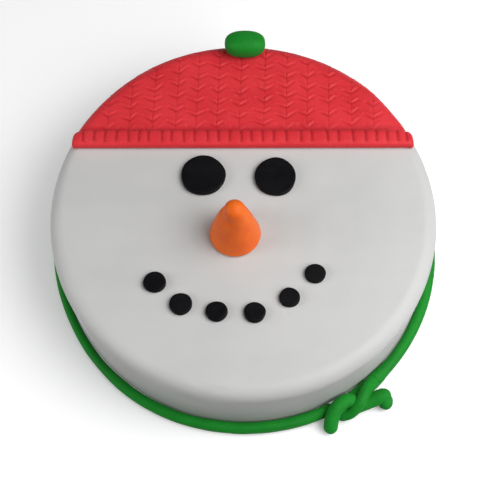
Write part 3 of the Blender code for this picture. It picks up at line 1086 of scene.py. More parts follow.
@dataclass
class Piece:
    """A piece of the cake: what it is made of, and how it is handed over."""

    materials: Mapping[Paste, bpy.types.Material]
    paste: ClassVar[Paste]

    @property
    def material(self) -> bpy.types.Material:
        """The material of this piece's paste."""
        return self.materials[self.paste]

    def hand_over(self, obj: bpy.types.Object, *nodes: str) -> bpy.types.Object:
        """Ride on the one body and stand for the CAD nodes.

        Args:
            obj: the finished mesh object.
            nodes: the CAD nodes that it replaces.

        Returns:
            The same object.
        """
        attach(obj, BODY)
        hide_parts(*nodes)
        log.info("%s: %d faces", obj.name, len(obj.data.polygons))
        return obj

    def smooth(
        self, obj: bpy.types.Object, depth: float, size: float, seed: float, rest: float
    ) -> bpy.types.Object:
        """Give a mesh the soft unevenness of handling, and its material.

        Args:
            obj: the mesh object.
            depth: how far the surface swells and sinks.
            size: how broad the swells are.
            seed: which unevenness.
            rest: the height that it rests on, where it stays flat.

        Returns:
            The finished object.
        """
        return run_tree(obj, HandWork.get("smoothed by hand"), {
            "Depth": depth, "Size": size, "Seed": seed, "Rest Height": rest,
            "Fade": 4 * depth, "Material": self.material,
        })


@dataclass
class IcedCake(Piece):
    """The white iced round, smoothed by hand, with the small dents that this left."""

    paste: ClassVar[Paste] = Paste.WHITE
    ring_step: float = 1.9 * MM
    steps: int = 300
    edge_steps: int = 14
    foot_steps: int = 4
    unevenness: float = 0.22 * MM
    swell_size: float = 46 * MM
    swell_seed: float = 3.0
    # Each dent is its place on the top's flat plan in X and Y, its radius and its depth, in mm
    dents: tuple[tuple[float, float, float, float], ...] = (
        (-28.3, -121.5, 2.0, 0.50),
        (-13.9, -126.6, 2.2, 0.45),
        (27.6, -77.0, 1.5, 0.40),
        (-14.0, -84.6, 1.3, 0.25),
        (84.9, -47.8, 1.6, 0.18),
        (61.0, 22.0, 1.8, 0.15),
        (-79.0, -31.0, 2.0, 0.15),
    )
    # The raised rim round a dent: its radius and half width in the dent's radii, and its share
    rim: tuple[float, float, float] = (1.7, 0.6, 0.3)

    def build(self) -> bpy.types.Object:
        """Build, dress and hand over the cake.

        Returns:
            The finished cake.
        """
        points, faces = turned(self._profile(), self.steps)
        points[:, :2] *= FORM.stretch(angles_of(points))[:, None]
        obj = place("iced_cake", mesh_of(points, faces))
        obj = self.smooth(obj, self.unevenness, self.swell_size, self.swell_seed, 0.0)
        self._dent(obj.data)
        return self.hand_over(obj, "cake")

    def _profile(self) -> Array:
        """Draw the cake's outline.

        Returns:
            Rows of radius and height, from the middle of the top to the middle of the base.
        """
        side = FORM.radius
        top = flat_top(FORM.inner, FORM.height, self.ring_step)
        bend = (FORM.inner, FORM.height - FORM.shoulder)
        edge = arc(bend, FORM.shoulder, 90, 0, self.edge_steps)[1:]
        tuck_and_crease_shade = (side - FORM.taper - FORM.foot, FORM.foot)
        foot = arc(tuck_and_crease_shade, FORM.foot, 0, -90, self.foot_steps)
        count = round((edge[-1, 1] - foot[0, 1]) / self.ring_step)
        down = np.linspace(edge[-1], foot[0], count + 1)[1:-1]
        return np.concatenate([top, edge, down, foot, flat_base(side)])

    def _dent(self, mesh: bpy.types.Mesh) -> None:
        """Press the small dents into the icing, each with a faint raised rim.

        Args:
            mesh: the cake's mesh.
        """
        points = points_of(mesh)
        normals = points_of(mesh, "normal")
        rim, half, share = self.rim
        for x, y, radius, depth in self.dents:
            middle = FORM.drape(np.array([[x, y]]) * MM, 0.0)
            away = np.linalg.norm(points - middle, axis=1) / (radius * MM)
            sink = share * np.exp(-(((away - rim) / half) ** 2)) - np.exp(-(away**2))
            points += normals * (sink * depth * MM)[:, None]
        move_points(mesh, points)


@dataclass
class KnittedCrown(Piece):
    """The hat's crown: a rolled red sheet, ruled and stitched flat, then laid over the back."""

    paste: ClassVar[Paste] = Paste.RED
    thickness: float = 1.6 * MM
    front: float = 54.9 * MM
    drop: float = 13.0 * MM
    edge: float = 0.5 * MM
    edge_levels: tuple[float, ...] = (0.3, 0.12)  # heights of the edge's rings, as shares
    step: float = 0.5 * MM
    under_step: float = 4.0 * MM
    hem_points: int = 721
    front_points: int = 380
    lines: tuple[float, ...] = (-94, -79, -63, -47, -33, -18.5, -3, 14, 29.5, 44, 59, 75, 90)
    outermost: float = 150.0  # the fine grid's reach to each side, in mm, as the lines are
    lean: float = 0.037
    rule_from: float = 57.0 * MM  # where the lines' places are read
    rule_past: float = 8.0 * MM  # how far the ruler runs past the sheet
    line_size: tuple[float, float] = (0.75 * MM, 0.45 * MM)  # width and depth
    left_arm: tuple[float, float, float] = (-6.5 * MM, 3.5 * MM, 0.0)
    right_arm: tuple[float, float, float] = (6.1 * MM, 4.2 * MM, 0.0)
    arm_size: tuple[float, float] = (1.1 * MM, 0.6 * MM)
    ridge_height: float = 0.42 * MM
    pit_depth: float = 0.7 * MM
    unevenness: float = 0.14
    fade_from: float = 2 * MM  # the marks start to fade this far before the sheet bends
    fade_over: float = 0.6  # and fade over this share of the bend
    # The sheet is thinner at each side: its side, then where that begins, its reach and its share
    thinned: tuple[tuple[float, float, float, float], ...] = (
        (-1, 55, 50, 0.58),
        (1, 86, 22, 0.8),
    )
    tuck_reach: float = 8.0 * MM  # the sheet is pressed down where the brim lies on it, and painted with shade there for the crease under the brim
    tuck_depth: float = 0.9 * MM
    row: float = 9.7 * MM
    row_range: tuple[float, float] = (0.88, 1.1)  # the pitch of a column's rows, as a share
    first_row: float = 58.5 * MM
    last_row: float = 143.0 * MM
    start_swing: float = 3.0 * MM
    row_swing: float = 1.0 * MM
    seed: int = 11
    front_turns: int = 6
    spare_rows: int = 10  # rows of the fine grid that lie before the front edge, for the lean
    seam: float = 0.6  # from the outline to the grid inside it, in steps of the outline
    merge: float = 1e-7  # the outline's points that lie nearer to each other are taken as one

    @property
    def hem(self) -> float:
        """The flat radius of the sheet's round edge."""
        return FORM.inner + FORM.bend + self.drop - FORM.shoulder

    def build(self) -> bpy.types.Object:
        """Build, dress and hand over the crown.

        Returns:
            The finished crown.
        """
        loop = self._outline()
        inset = self._inset(loop, self.edge)
        flat, faces = self._fill(inset, self._fine_points())
        sheet = mesh_of(np.column_stack([flat, np.zeros(len(flat))]), faces)
        lines, rows = self._guides()
        pressed = run_tree(place("hat_crown_sheet", sheet), HandWork.get("pressed stitches"), {
            "Lines": lines, "Rows": rows,
            "Line Width": self.line_size[0], "Line Depth": self.line_size[1],
            "Left Arm": self.left_arm, "Right Arm": self.right_arm,
            "Arm Width": self.arm_size[0], "Arm Depth": self.arm_size[1],
            "Ridge Height": self.ridge_height, "Pit Depth": self.pit_depth,
            "Bend From": FORM.inner - self.fade_from,
            "Bend To": FORM.inner + self.fade_over * FORM.bend,
            "Unevenness": self.unevenness, "Seed": self.seed, "Material": self.material,
        })
        remove(lines, rows)
        return self.hand_over(self._close(pressed, loop, len(inset)), "hat_crown")

    def _outline(self) -> Array:
        """Draw the sheet's flat outline.

        Returns:
            Rows of X and Y, anticlockwise: the hem, then the front edge.
        """
        angles = np.linspace(0, math.pi, self.hem_points)
        ring = self.hem * FORM.stretch(angles)
        hem = np.column_stack([ring * np.cos(angles), ring * np.sin(angles)])
        hem = hem[FORM.drape(hem, GAP)[:, 1] > self.front]
        reach = np.linspace(-1.0, 1.0, self.front_points)[1:-1]
        left, right = hem[-1], hem[0]
        x = (left[0] + right[0]) / 2 + reach * (right[0] - left[0]) / 2
        y = np.full(len(x), self.front)
        # Each turn brings the front edge nearer to a straight line on the cake
        for _ in range(self.front_turns):
            y = y + self.front - FORM.drape(np.column_stack([x, y]), GAP)[:, 1]
        return np.concatenate([hem, np.column_stack([x, y])])

    @staticmethod
    def _inset(loop: Array, distance: float) -> Array:
        """Move a closed loop inwards.

        Args:
            loop: the loop, anticlockwise.
            distance: how far.

        Returns:
            The moved loop.
        """
        along = np.roll(loop, -1, axis=0) - np.roll(loop, 1, axis=0)
        along /= np.linalg.norm(along, axis=1)[:, None]
        return loop + distance * np.column_stack([-along[:, 1], along[:, 0]])

    @staticmethod
    def _grid(x: Array, y: Array) -> Array:
        """Return the points of a grid on these columns and rows."""
        across, along = np.meshgrid(x, y)
        return np.column_stack([across.ravel(), along.ravel()])

    def _fine_points(self) -> Array:
        """Lay a fine grid whose columns run along the ruled lines.

        Returns:
            Rows of X and Y.
        """
        keys = [-self.outermost, *self.lines, self.outermost]
        columns: list[float] = []
        for left, right in zip(keys, keys[1:]):
            count = round((right - left) * MM / self.step)
            columns.extend(np.linspace(left, right, count, endpoint=False) * MM)
        before = self.front - self.spare_rows * self.step
        points = self._grid(np.array(columns), np.arange(before, self.hem, self.step))
        points[:, 0] += self.lean * (points[:, 1] - self.rule_from)
        return points

    def _fill(self, loop: Array, points: Array) -> tuple[Array, Faces]:
        """Fill a flat outline with triangles through the points that lie inside it.

        Args:
            loop: the closed outline.
            points: candidate points.

        Returns:
            All points, the outline's first, and the upward triangles.
        """
        margin = self.edge + self.seam * float(np.linalg.norm(loop[1] - loop[0]))
        behind = FORM.drape(points, GAP)[:, 1] > self.front + margin
        inner = points[behind & (FORM.reach(points) < self.hem - margin)]
        corners = [Vector(point) for point in np.concatenate([loop, inner]).tolist()]
        result = delaunay_2d_cdt(corners, [], [list(range(len(loop)))], 1, self.merge)
        return np.array([tuple(point) for point in result[0]]), [tuple(face) for face in result[2]]

    def _guides(self) -> tuple[bpy.types.Object, bpy.types.Object]:
        """Draw the ruled lines and the points where each row's V starts.

        Returns:
            The lines and the points, as two objects.
        """
        hand = random.Random(self.seed)
        ends: list[tuple[float, float, float]] = []
        rows: list[tuple[float, float, float]] = []
        for line in self.lines:
            for y in (self.front - self.rule_past, self.hem + self.rule_past):
                ends.append((self._along(line, y), y, 0.0))
            pitch = self.row * hand.uniform(*self.row_range)
            y = self.first_row + hand.uniform(-self.start_swing, self.start_swing)
            while y < self.last_row:
                rows.append((self._along(line, y), y, 0.0))
                y += pitch + hand.uniform(-self.row_swing, self.row_swing)
        edges = [(first, first + 1) for first in range(0, len(ends), 2)]
        return place("rules", mesh_of(ends, edges=edges)), place("row_starts", mesh_of(rows))

    def _along(self, line: float, y: float) -> float:
        """Return the X of a ruled line at a distance along the sheet."""
        return line * MM + self.lean * (y - self.rule_from)

    def _close(self, pressed: bpy.types.Object, loop: Array, rim: int) -> bpy.types.Object:
        """Drape the pressed sheet and give it its edge and its underside.

        Args:
            pressed: the flat sheet, with the marks as height. It is removed.
            loop: the sheet's full outline.
            rim: how many of its first points lie on its edge.

        Returns:
            The closed crown.
        """
        flat = points_of(pressed.data)
        marks = np.empty(len(flat), np.float32)
        pressed.data.attributes[MARK_AND_PAINTED_LIGHT].data.foreach_get("value", marks)
        faces: Faces = [tuple(face.vertices) for face in pressed.data.polygons]
        remove(pressed)
        cover, tuck_and_crease_shade = self._cover(flat)
        top = FORM.drape(flat[:, :2], cover)
        sides = [FORM.drape(loop, GAP + level * self.thickness) for level in self.edge_levels]
        coarse = self._grid(
            np.arange(-self.hem, self.hem, self.under_step),
            np.arange(self.front, self.hem, self.under_step),
        )
        under, under_faces = self._fill(self._inset(loop, self.edge / 2), coarse)
        starts = [0, len(top), len(top) + rim, len(top) + 2 * rim]
        for above, below in zip(starts, starts[1:]):
            for index in range(rim):
                after = (index + 1) % rim
                faces.append((above + after, above + index, below + index, below + after))
        faces += [tuple(starts[-1] + index for index in reversed(face)) for face in under_faces]
        crown = mesh_of(np.concatenate([top, *sides, FORM.drape(under, GAP)]), faces)
        # The colour marks: the tool's marks with their painted shade and highlight, and painted
        # shade in the crease under the brim
        tones_and_painted_light = np.zeros(len(crown.vertices), np.float32)
        tones_and_painted_light[: len(marks)] = np.maximum(marks, tuck_and_crease_shade)
        crown.attributes.new(MARK_AND_PAINTED_LIGHT, "FLOAT", "POINT").data.foreach_set("value", tones_and_painted_light)
        crown.materials.append(self.material)
        crown.shade_smooth()
        return place("hat_crown_knitted", crown)

    def _cover(self, flat: Array) -> tuple[Array, Array]:
        """Work out the sheet's thickness at each point.

        Args:
            flat: the flat sheet's points, with the marks as height.

        Returns:
            How far each point lies above the icing, and how far it is tucked under the brim, which
            also sets the painted shade of the crease there.
        """
        laid = FORM.drape(flat[:, :2], GAP)
        worn = np.zeros(len(flat))
        for side, begins, reach, share in self.thinned:
            worn += ease(np.clip((side * laid[:, 0] / MM - begins) / reach, 0, 1)) * share
        tuck_and_crease_shade = ease(np.clip(1 - (laid[:, 1] - self.front) / self.tuck_reach, 0, 1))
        full = GAP + self.thickness * (1 - worn) - self.tuck_depth * tuck_and_crease_shade
        return full + flat[:, 2] * (1 - tuck_and_crease_shade), tuck_and_crease_shade


@dataclass
class RibbedBrim(Piece):
    """The hat's brim: a flattened roll with blade marks across it."""

    paste: ClassVar[Paste] = Paste.RED
    half_length: float = 116.8 * MM
    middle: float = 49.4 * MM
    tilt: float = -0.005  # how far its right end comes forward, for each unit of length
    width: float = 12.0 * MM
    height: float = 6.2 * MM
    squareness: float = 2.6
    base_squareness: float = 5.0
    ease: float = 1.0 * MM
    sides: int = 60
    step: float = 0.42 * MM
    end_length: float = 2.5 * MM
    end_power: float = 0.36
    end_steps: int = 12
    end_start: float = 8.0  # degrees round the end where its rounding starts
    tip_height: float = 0.25  # height of the middle of an end, as a share
    blade: float = 14 * MM
    blade_front: float = 2.8 * MM  # how far before the roll's middle a blade mark starts
    cut_width: float = 1.7 * MM
    cut_depth: float = 0.36 * MM
    swell: float = 0.25 * MM
    pitch: float = 7.9 * MM
    slant: float = 0.05
    cuts: tuple[float, ...] = (
        -109, -101.3, -93.8, -86.1, -78.2, -70.6, -64.4, -55.2, -48.6, -40.4, -32.9, -24.1,
        -16.8, -8.9, -1.2, 5.6, 13.3, 21.1, 29.5, 39.6, 46.9, 57.5, 65.2, 74.8, 83.5, 91.1,
        98.2, 105.2, 111.5,
    )

    def build(self) -> bpy.types.Object:
        """Build, dress and hand over the brim.

        Returns:
            The finished brim.
        """
        y = self.middle - self.blade_front + self.blade / 2
        guide = place("blade_places", mesh_of([(x * MM, y, self.height) for x in self.cuts]))
        roll = place("hat_brim_ribbed", mesh_of(*self._roll()))
        obj = run_tree(roll, HandWork.get("pressed ribs"), {
            "Places": guide, "Blade Length": self.blade, "Cut Width": self.cut_width,
            "Cut Depth": self.cut_depth, "Swell": self.swell, "Pitch": self.pitch,
            "Slant": self.slant, "Seed": HAND_SEED, "Material": self.material,
        })
        remove(guide)
        bent = points_of(obj.data)
        bent[:, 1] += self.tilt * (bent[:, 0] + self.half_length)
        bent[:, 2] += FORM.height + GAP - FORM.drop(bent[:, 0], bent[:, 1], self.ease)
        move_points(obj.data, bent)
        return self.hand_over(obj, "hat_brim")

    def _roll(self) -> tuple[Array, Faces]:
        """Roll the paste straight along X, with rounded ends.

        Returns:
            The points and the outward faces.
        """
        inner = self.half_length - self.end_length
        turns = np.radians(np.linspace(self.end_start, 90, self.end_steps))
        ends = [
            (inner + self.end_length * math.sin(turn), max(math.cos(turn), 0.0) ** self.end_power)
            for turn in turns
        ]
        count = round(2 * inner / self.step)
        straight = [(x, 1.0) for x in np.linspace(inner, -inner, count)]
        stations = [*reversed(ends), *straight, *((-x, share) for x, share in ends)]
        angles = np.linspace(0, 2 * math.pi, self.sides, endpoint=False)
        cos, sin = np.cos(angles), np.sin(angles)
        power = np.where(sin > 0, 2 / self.squareness, 2 / self.base_squareness)
        across = np.sign(cos) * np.abs(cos) ** power * self.width / 2
        up = np.sign(sin) * np.abs(sin) ** power * self.height / 2
        rings = [
            np.column_stack([
                np.full(self.sides, x),
                self.middle + share * across,
                share * (self.height / 2 + up),
            ])
            for x, share in stations[1:-1]
        ]
        first, last = (
            np.array([x, self.middle, self.tip_height * self.height])
            for x, _ in (stations[0], stations[-1])
        )
        return skin(first, rings, last)


@dataclass
class Bobble(Piece):
    """The squashed green ball on the back edge of the hat."""

    paste: ClassVar[Paste] = Paste.GREEN
    middle: tuple[float, float] = (1.8 * MM, 123.4 * MM)
    size: tuple[float, float, float] = (28.8 * MM, 19.4 * MM, 17.0 * MM)
    squareness: float = 2.5
    squash: float = 0.8 * MM
    droop: float = 0.45  # how far its base follows the cake's rounded edge
    droop_loss: float = 0.7  # how much less its top follows
    cover: float = GAP + 1.6 * MM
    steps: int = 72
    levels: int = 40
    unevenness: float = 0.25 * MM
    swell_size: float = 9 * MM
    swell_seed: float = 5.0

    def build(self) -> bpy.types.Object:
        """Build, dress and hand over the bobble.

        Returns:
            The finished bobble.
        """
        points, faces = turned(arc((0.0, 0.0), 0.5, 90, -90, self.levels), self.steps)
        power = (np.abs(2 * points) ** self.squareness).sum(axis=1)
        boxy = points * (power ** (-1 / self.squareness))[:, None]
        x = self.middle[0] + boxy[:, 0] * self.size[0]
        y = self.middle[1] + boxy[:, 1] * self.size[1]
        above = np.maximum((boxy[:, 2] + 0.5) * self.size[2] - self.squash, 0)
        follow = self.droop * (1 - self.droop_loss * above / self.size[2])
        drop = FORM.drop(x, y, self.cover) * follow
        rest = FORM.height + self.cover
        level = rest + GAP + above - drop
        obj = place("hat_bobble_ball", mesh_of(np.column_stack([x, y, level]), faces))
        obj = self.smooth(obj, self.unevenness, self.swell_size, self.swell_seed, rest)
        return self.hand_over(obj, "hat_bobble")


Spot = tuple[float, float, float, float]


@dataclass
class CoalDiscs(Piece):
    """The eyes and the mouth: soft-edged black discs, cut by hand."""

    paste: ClassVar[Paste] = Paste.BLACK
    # Each disc is its middle in X and Y, its width and its depth, in mm
    eyes: Mapping[str, Spot] = field(
        default_factory=lambda: {
            "eye_left": (-26.7, 21.5, 30.0, 29.8),
            "eye_right": (21.8, 20.1, 27.8, 28.8),
        }
    )
    mouth: tuple[Spot, ...] = (
        (-56.6, -56.0, 14.8, 14.2),
        (-39.6, -71.0, 14.7, 14.6),
        (-16.8, -76.2, 14.2, 13.4),
        (7.2, -77.0, 13.9, 13.7),
        (29.4, -67.0, 13.3, 13.1),
        (46.2, -50.7, 13.7, 13.1),
    )
    eye_thickness: float = 3.0 * MM
    mouth_thickness: float = 2.6 * MM
    eye_steps: int = 96
    mouth_steps: int = 72
    top_step: float = 1.0 * MM
    edge_steps: int = 7
    side_steps: int = 3
    rounding: float = 1.0 * MM
    foot: float = 0.985
    unevenness: float = 0.012
    # The unevenness of an outline: how many bulges go round it, and their share
    bulges: tuple[tuple[int, float], ...] = ((3, 1.0), (5, 0.6))
    swell: float = 0.16 * MM
    swell_size: float = 7 * MM

    def build(self) -> list[bpy.types.Object]:
        """Build, dress and hand over every disc.

        Returns:
            The finished discs.
        """
        hand = random.Random(HAND_SEED)
        made = [
            self._disc(name, spot, self.eye_thickness, self.eye_steps, hand)
            for name, spot in self.eyes.items()
        ]
        for index, spot in enumerate(self.mouth, start=1):
            thickness, steps = self.mouth_thickness, self.mouth_steps
            made.append(self._disc(f"mouth_{index}", spot, thickness, steps, hand))
        return made

    def _disc(
        self, node: str, spot: Spot, thickness: float, steps: int, hand: random.Random
    ) -> bpy.types.Object:
        """Build one disc.

        Args:
            node: the CAD node that it stands for.
            spot: its middle, width and depth, in mm.
            thickness: its thickness.
            steps: facets round it.
            hand: the maker's unevenness.

        Returns:
            The finished disc.
        """
        x, y, width, depth = (value * MM for value in spot)
        radius = width / 2
        edge = radius - self.rounding
        bend = (edge, thickness - self.rounding)
        round_edge = arc(bend, self.rounding, 90, 0, self.edge_steps)[1:]
        foot = radius * self.foot
        side = np.linspace(round_edge[-1], (foot, 0.0), self.side_steps + 1)[1:]
        top = flat_top(edge, thickness, self.top_step)
        profile = np.concatenate([top, round_edge, side, flat_base(foot)])
        points, faces = turned(profile, steps)
        angle = angles_of(points)
        uneven = np.zeros(len(points))
        for count, size in self.bulges:
            uneven += size * np.sin(count * angle + hand.uniform(0, 2 * math.pi))
        share = 1 + self.unevenness * uneven
        points[:, 0] = x + points[:, 0] * share
        points[:, 1] = y + points[:, 1] * share * depth / width
        points[:, 2] += FORM.height + GAP
        obj = place(node + "_coal", mesh_of(points, faces))
        # Each disc has a seed of its own, its X in mm
        obj = self.smooth(obj, self.swell, self.swell_size, x / MM, FORM.height + GAP)
        return self.hand_over(obj, node)


@dataclass
class CarrotNose(Piece):
    """The nose: a fat carrot end that stands up from the face with a blunt tip."""

    paste: ClassVar[Paste] = Paste.ORANGE
    middle: tuple[float, float] = (-5.1 * MM, -21.8 * MM)
    height: float = 43.5 * MM
    base_radius: float = 16.7 * MM
    belly: float = 1.5 * MM
    tip_radius: float = 6.9 * MM
    tip_edge: float = 22.0  # degrees above level where the round tip ends
    taper: float = 1.06
    lean: tuple[float, float] = (0.3 * MM, -1.3 * MM)
    lean_power: float = 1.5
    foot: float = 0.05
    steps: int = 120
    levels: int = 60
    tip_levels: int = 12
    # The left flank bulges, and a shallow crease runs across it below the tip
    bulge: float = 0.6 * MM
    bulge_height: float = 20 * MM
    bulge_spread: float = 11 * MM
    crease: float = 1.3 * MM
    crease_height: float = 32.5 * MM
    crease_spread: float = 3.0 * MM
    unevenness: float = 0.4 * MM
    swell_size: float = 12 * MM
    swell_seed: float = 2.0

    def build(self) -> bpy.types.Object:
        """Build, dress and hand over the nose.

        Returns:
            The finished nose.
        """
        tip_middle = (0.0, self.height - self.tip_radius)
        tip = arc(tip_middle, self.tip_radius, 90, self.tip_edge, self.tip_levels)
        levels = np.linspace(tip[-1, 1], 0.0, self.levels)[1:]
        flank = np.column_stack([[self._radius(level, tip[-1]) for level in levels], levels])
        profile = np.concatenate([tip, flank, flat_base(self.base_radius)])
        points, faces = turned(profile, self.steps)
        self._handle(points)
        share = (points[:, 2] / self.height) ** self.lean_power
        points[:, 0] += self.middle[0] + self.lean[0] * share
        points[:, 1] += self.middle[1] + self.lean[1] * share
        rest = FORM.height + GAP
        points[:, 2] += rest
        obj = place("nose_carrot", mesh_of(points, faces))
        obj = self.smooth(obj, self.unevenness, self.swell_size, self.swell_seed, rest)
        return self.hand_over(obj, "nose")

    def _handle(self, points: Array) -> None:
        """Bulge the left flank and press the crease under the tip.

        Args:
            points: the straight nose's points, which are moved.
        """
        left = np.clip(-np.cos(angles_of(points)), 0, 1)
        swell = np.exp(-(((points[:, 2] - self.bulge_height) / self.bulge_spread) ** 2))
        pinch = np.exp(-(((points[:, 2] - self.crease_height) / self.crease_spread) ** 2))
        push = left * (self.bulge * swell - self.crease * pinch)
        radius = np.maximum(np.hypot(points[:, 0], points[:, 1]), MM)
        points[:, :2] *= (1 + push / radius)[:, None]

    def _radius(self, level: float, waist: Array) -> float:
        """Find the radius below the round tip.

        Args:
            level: the height.
            waist: the radius and the height where the round tip starts.

        Returns:
            The radius at that height.
        """
        if level <= self.belly:
            return self.base_radius * (1 - self.foot * (1 - level / self.belly) ** 2)
        above = (level - self.belly) / (waist[1] - self.belly)
        return waist[0] + (self.base_radius - waist[0]) * (1 - above**self.taper)


@dataclass
class RopeScarf(Piece):
    """The scarf: a rolled green rope round the foot, its two ends twisted together."""

    paste: ClassVar[Paste] = Paste.GREEN
    radius: float = 4.0 * MM
    wander: float = 0.4 * MM  # how far the rope strays from the cake
    waves: int = 5
    clearance: float = 0.5 * MM
    # The rope is rolled thinner on its left: the angle, its reach and the share it loses
    thin_angle: float = -150.0
    thin_reach: float = 45.0
    thinning: float = 0.22
    left_angle: float = -68.0
    right_angle: float = -48.0
    points: int = 240
    overlap: int = 4  # how many of the ring's last points the knot's first strand takes over
    sides: int = 28
    knot_step: float = 0.8 * MM
    cap_turns: tuple[float, ...] = (14, 28, 42, 55, 67, 78)  # degrees round a rounded end
    # Strand routes in mm
    left_end: tuple[float, float, float] = (56.4, -124.0, 4.2)
    over: Route = (
        (86.8, -105.4, 5.4),
        (83.0, -110.2, 8.8),
        (80.0, -115.0, 11.6),
        (77.4, -120.0, 12.2),
        (74.2, -124.4, 10.0),
        (70.0, -127.2, 6.6),
        (65.4, -128.2, 4.6),
    )
    under: Route = (
        (59.0, -125.8, 4.9),
        (67.0, -124.6, 4.9),
        (76.0, -122.0, 5.1),
        (84.0, -119.0, 6.2),
        (89.6, -117.0, 7.4),
        (93.2, -115.8, 7.6),
    )
    curl: Route = (
        (93.6, -117.0, 6.2),
        (94.6, -118.6, 5.4),
        (94.4, -120.0, 4.8),
    )
    tail: Route = (
        (75.2, -121.7, 6.2),
        (74.0, -120.9, 7.6),
        (71.2, -120.0, 9.8),
        (67.4, -120.4, 11.6),
        (62.9, -123.2, 12.2),
        (59.6, -127.2, 11.2),
        (57.8, -131.6, 8.6),
        (57.0, -136.0, 5.0),
    )
    behind: Route = (
        (83.1, -107.7, 4.9),
        (77.9, -112.2, 4.9),
        (73.2, -115.5, 4.9),
        (68.8, -118.3, 4.8),
    )
    under_radius: float = 4.8 * MM
    curl_radius: float = 4.6 * MM
    tail_radius: float = 4.8 * MM
    behind_radius: float = 4.2 * MM
    # The rope is pressed wider where the strands part
    pressed_at: tuple[float, float, float] = (89.0, -104.0, 5.0)
    pressed_reach: float = 11.0 * MM
    pressed_share: float = 0.24
    lift: float = 0.15 * MM  # keeps the uneven rope clear of what the cake stands on
    unevenness: float = 0.28 * MM
    swell_size: float = 16 * MM

    def build(self) -> list[bpy.types.Object]:
        """Build, dress and hand over the wrap and the strands of the knot.

        Returns:
            The finished strands.
        """
        ring = self._ring()
        over = self._smooth_route([ring[-self.overlap], ring[-1], *self._metres(self.over)])
        wrap = [Vector(self.left_end) * MM, *ring[: -self.overlap], *over]
        strands = [("scarf_wrap", wrap, self.radius)]
        for name, route, radius in (
            ("scarf_under_strand", self.under, self.under_radius),
            ("scarf_curled_end", self.curl, self.curl_radius),
            ("scarf_tail", self.tail, self.tail_radius),
            ("scarf_strand_behind", self.behind, self.behind_radius),
        ):
            strands.append((name, self._smooth_route(self._metres(route)), radius))
        return [
            self._strand(*strand, seed=float(number)) for number, strand in enumerate(strands, 1)
        ]

    @staticmethod
    def _metres(points: Route) -> Iterator[Vector]:
        """Return points in mm as vectors in metres."""
        return (Vector(point) * MM for point in points)

    def _ring(self) -> list[Vector]:
        """Lay the route round the foot of the cake.

        Returns:
            Its points, from the left end to the right.
        """
        turn = 360 - (self.right_angle - self.left_angle)
        route = []
        for index in range(self.points + 1):
            angle = math.radians(self.left_angle - turn * index / self.points)
            stray = self.wander * (1 + math.sin(self.waves * angle)) / 2
            side = (FORM.radius - FORM.taper) * float(FORM.stretch(angle))
            away = min(abs(math.degrees(angle) - self.thin_angle) / self.thin_reach, 1.0)
            thick = self.radius * (1 - self.thinning * math.cos(away * math.pi / 2) ** 2)
            radius = side + self.clearance + thick + stray
            route.append(Vector((radius * math.cos(angle), radius * math.sin(angle), thick)))
        return route

    def _smooth_route(self, given: Iterator[Vector] | Sequence[Vector]) -> list[Vector]:
        """Run a smooth curve through points.

        Args:
            given: the points.

        Returns:
            Points on the curve, about a step apart.
        """
        points = list(given)
        padded = [2 * points[0] - points[1], *points, 2 * points[-1] - points[-2]]
        route = []
        for a, b, c, d in zip(padded, padded[1:], padded[2:], padded[3:]):
            pieces = max(1, round((c - b).length / self.knot_step))
            for piece in range(pieces):
                t = piece / pieces
                route.append(
                    0.5 * ((2 * b) + (c - a) * t + (2 * a - 5 * b + 4 * c - d) * t**2
                           + (3 * b - a - 3 * c + d) * t**3)
                )
        route.append(points[-1])
        return route

    def _strand(
        self, name: str, route: Sequence[Vector], radius: float, seed: float
    ) -> bpy.types.Object:
        """Roll one strand along its route.

        Args:
            name: the piece's name.
            route: the points that its middle follows.
            radius: its radius.
            seed: which unevenness.

        Returns:
            The finished strand.
        """
        stations = self._stations(route, radius)
        curve = bpy.data.curves.new(name, "CURVE")
        curve.dimensions = "3D"
        spline = curve.splines.new("POLY")
        spline.points.add(len(stations) - 1)
        for station, (point, share) in zip(spline.points, stations):
            station.co = (*point, 1.0)
            station.radius = share * radius
        obj = run_tree(place(name, curve), HandWork.get("rolled rope"), {
            "Sides": self.sides, "Depth": self.unevenness, "Size": self.swell_size,
            "Seed": seed, "Material": self.material,
        })
        return self.hand_over(obj, "scarf")

    def _stations(self, route: Sequence[Vector], radius: float) -> list[tuple[Vector, float]]:
        """Work out how thick a strand is along its route, and round its two ends.

        Args:
            route: the points that its middle follows.
            radius: its radius.

        Returns:
            Each point, raised so that the strand lies clear of the ground, and its thickness as
            a share.
        """
        squeezed = Vector(self.pressed_at) * MM
        stations = []
        for point in route:
            away = (point - squeezed).length / self.pressed_reach
            share = min(1.0, point.z / radius) * (1 + self.pressed_share * math.exp(-(away**2)))
            lying = share * radius + self.lift
            stations.append((Vector((point.x, point.y, max(point.z, lying))), share))
        for end, before in ((0, 1), (-1, -2)):
            tip, inner = stations[end][0], stations[before][0]
            outward = (tip - inner).normalized()
            for turn in map(math.radians, self.cap_turns):
                cap = (tip + outward * radius * math.sin(turn), math.cos(turn))
                stations.insert(0 if end == 0 else len(stations), cap)
        return stations


@dataclass(frozen=True)
class Softbox:
    """One soft studio light."""

    name: str
    place_at: tuple[float, float, float]
    size: float
    power: float
    aim_at: tuple[float, float, float] = (0.0, 0.0, 0.03)

    def build(self) -> None:
        """Hang the light and aim it at the cake."""
        data = bpy.data.lights.new(self.name, "AREA")
        data.shape = "DISK"
        data.size = self.size
        data.energy = self.power
        lamp = place(self.name, data)
        lamp.location = self.place_at
        aim = Vector(self.aim_at) - Vector(self.place_at)
        lamp.rotation_euler = aim.to_track_quat("-Z", "Y").to_euler()


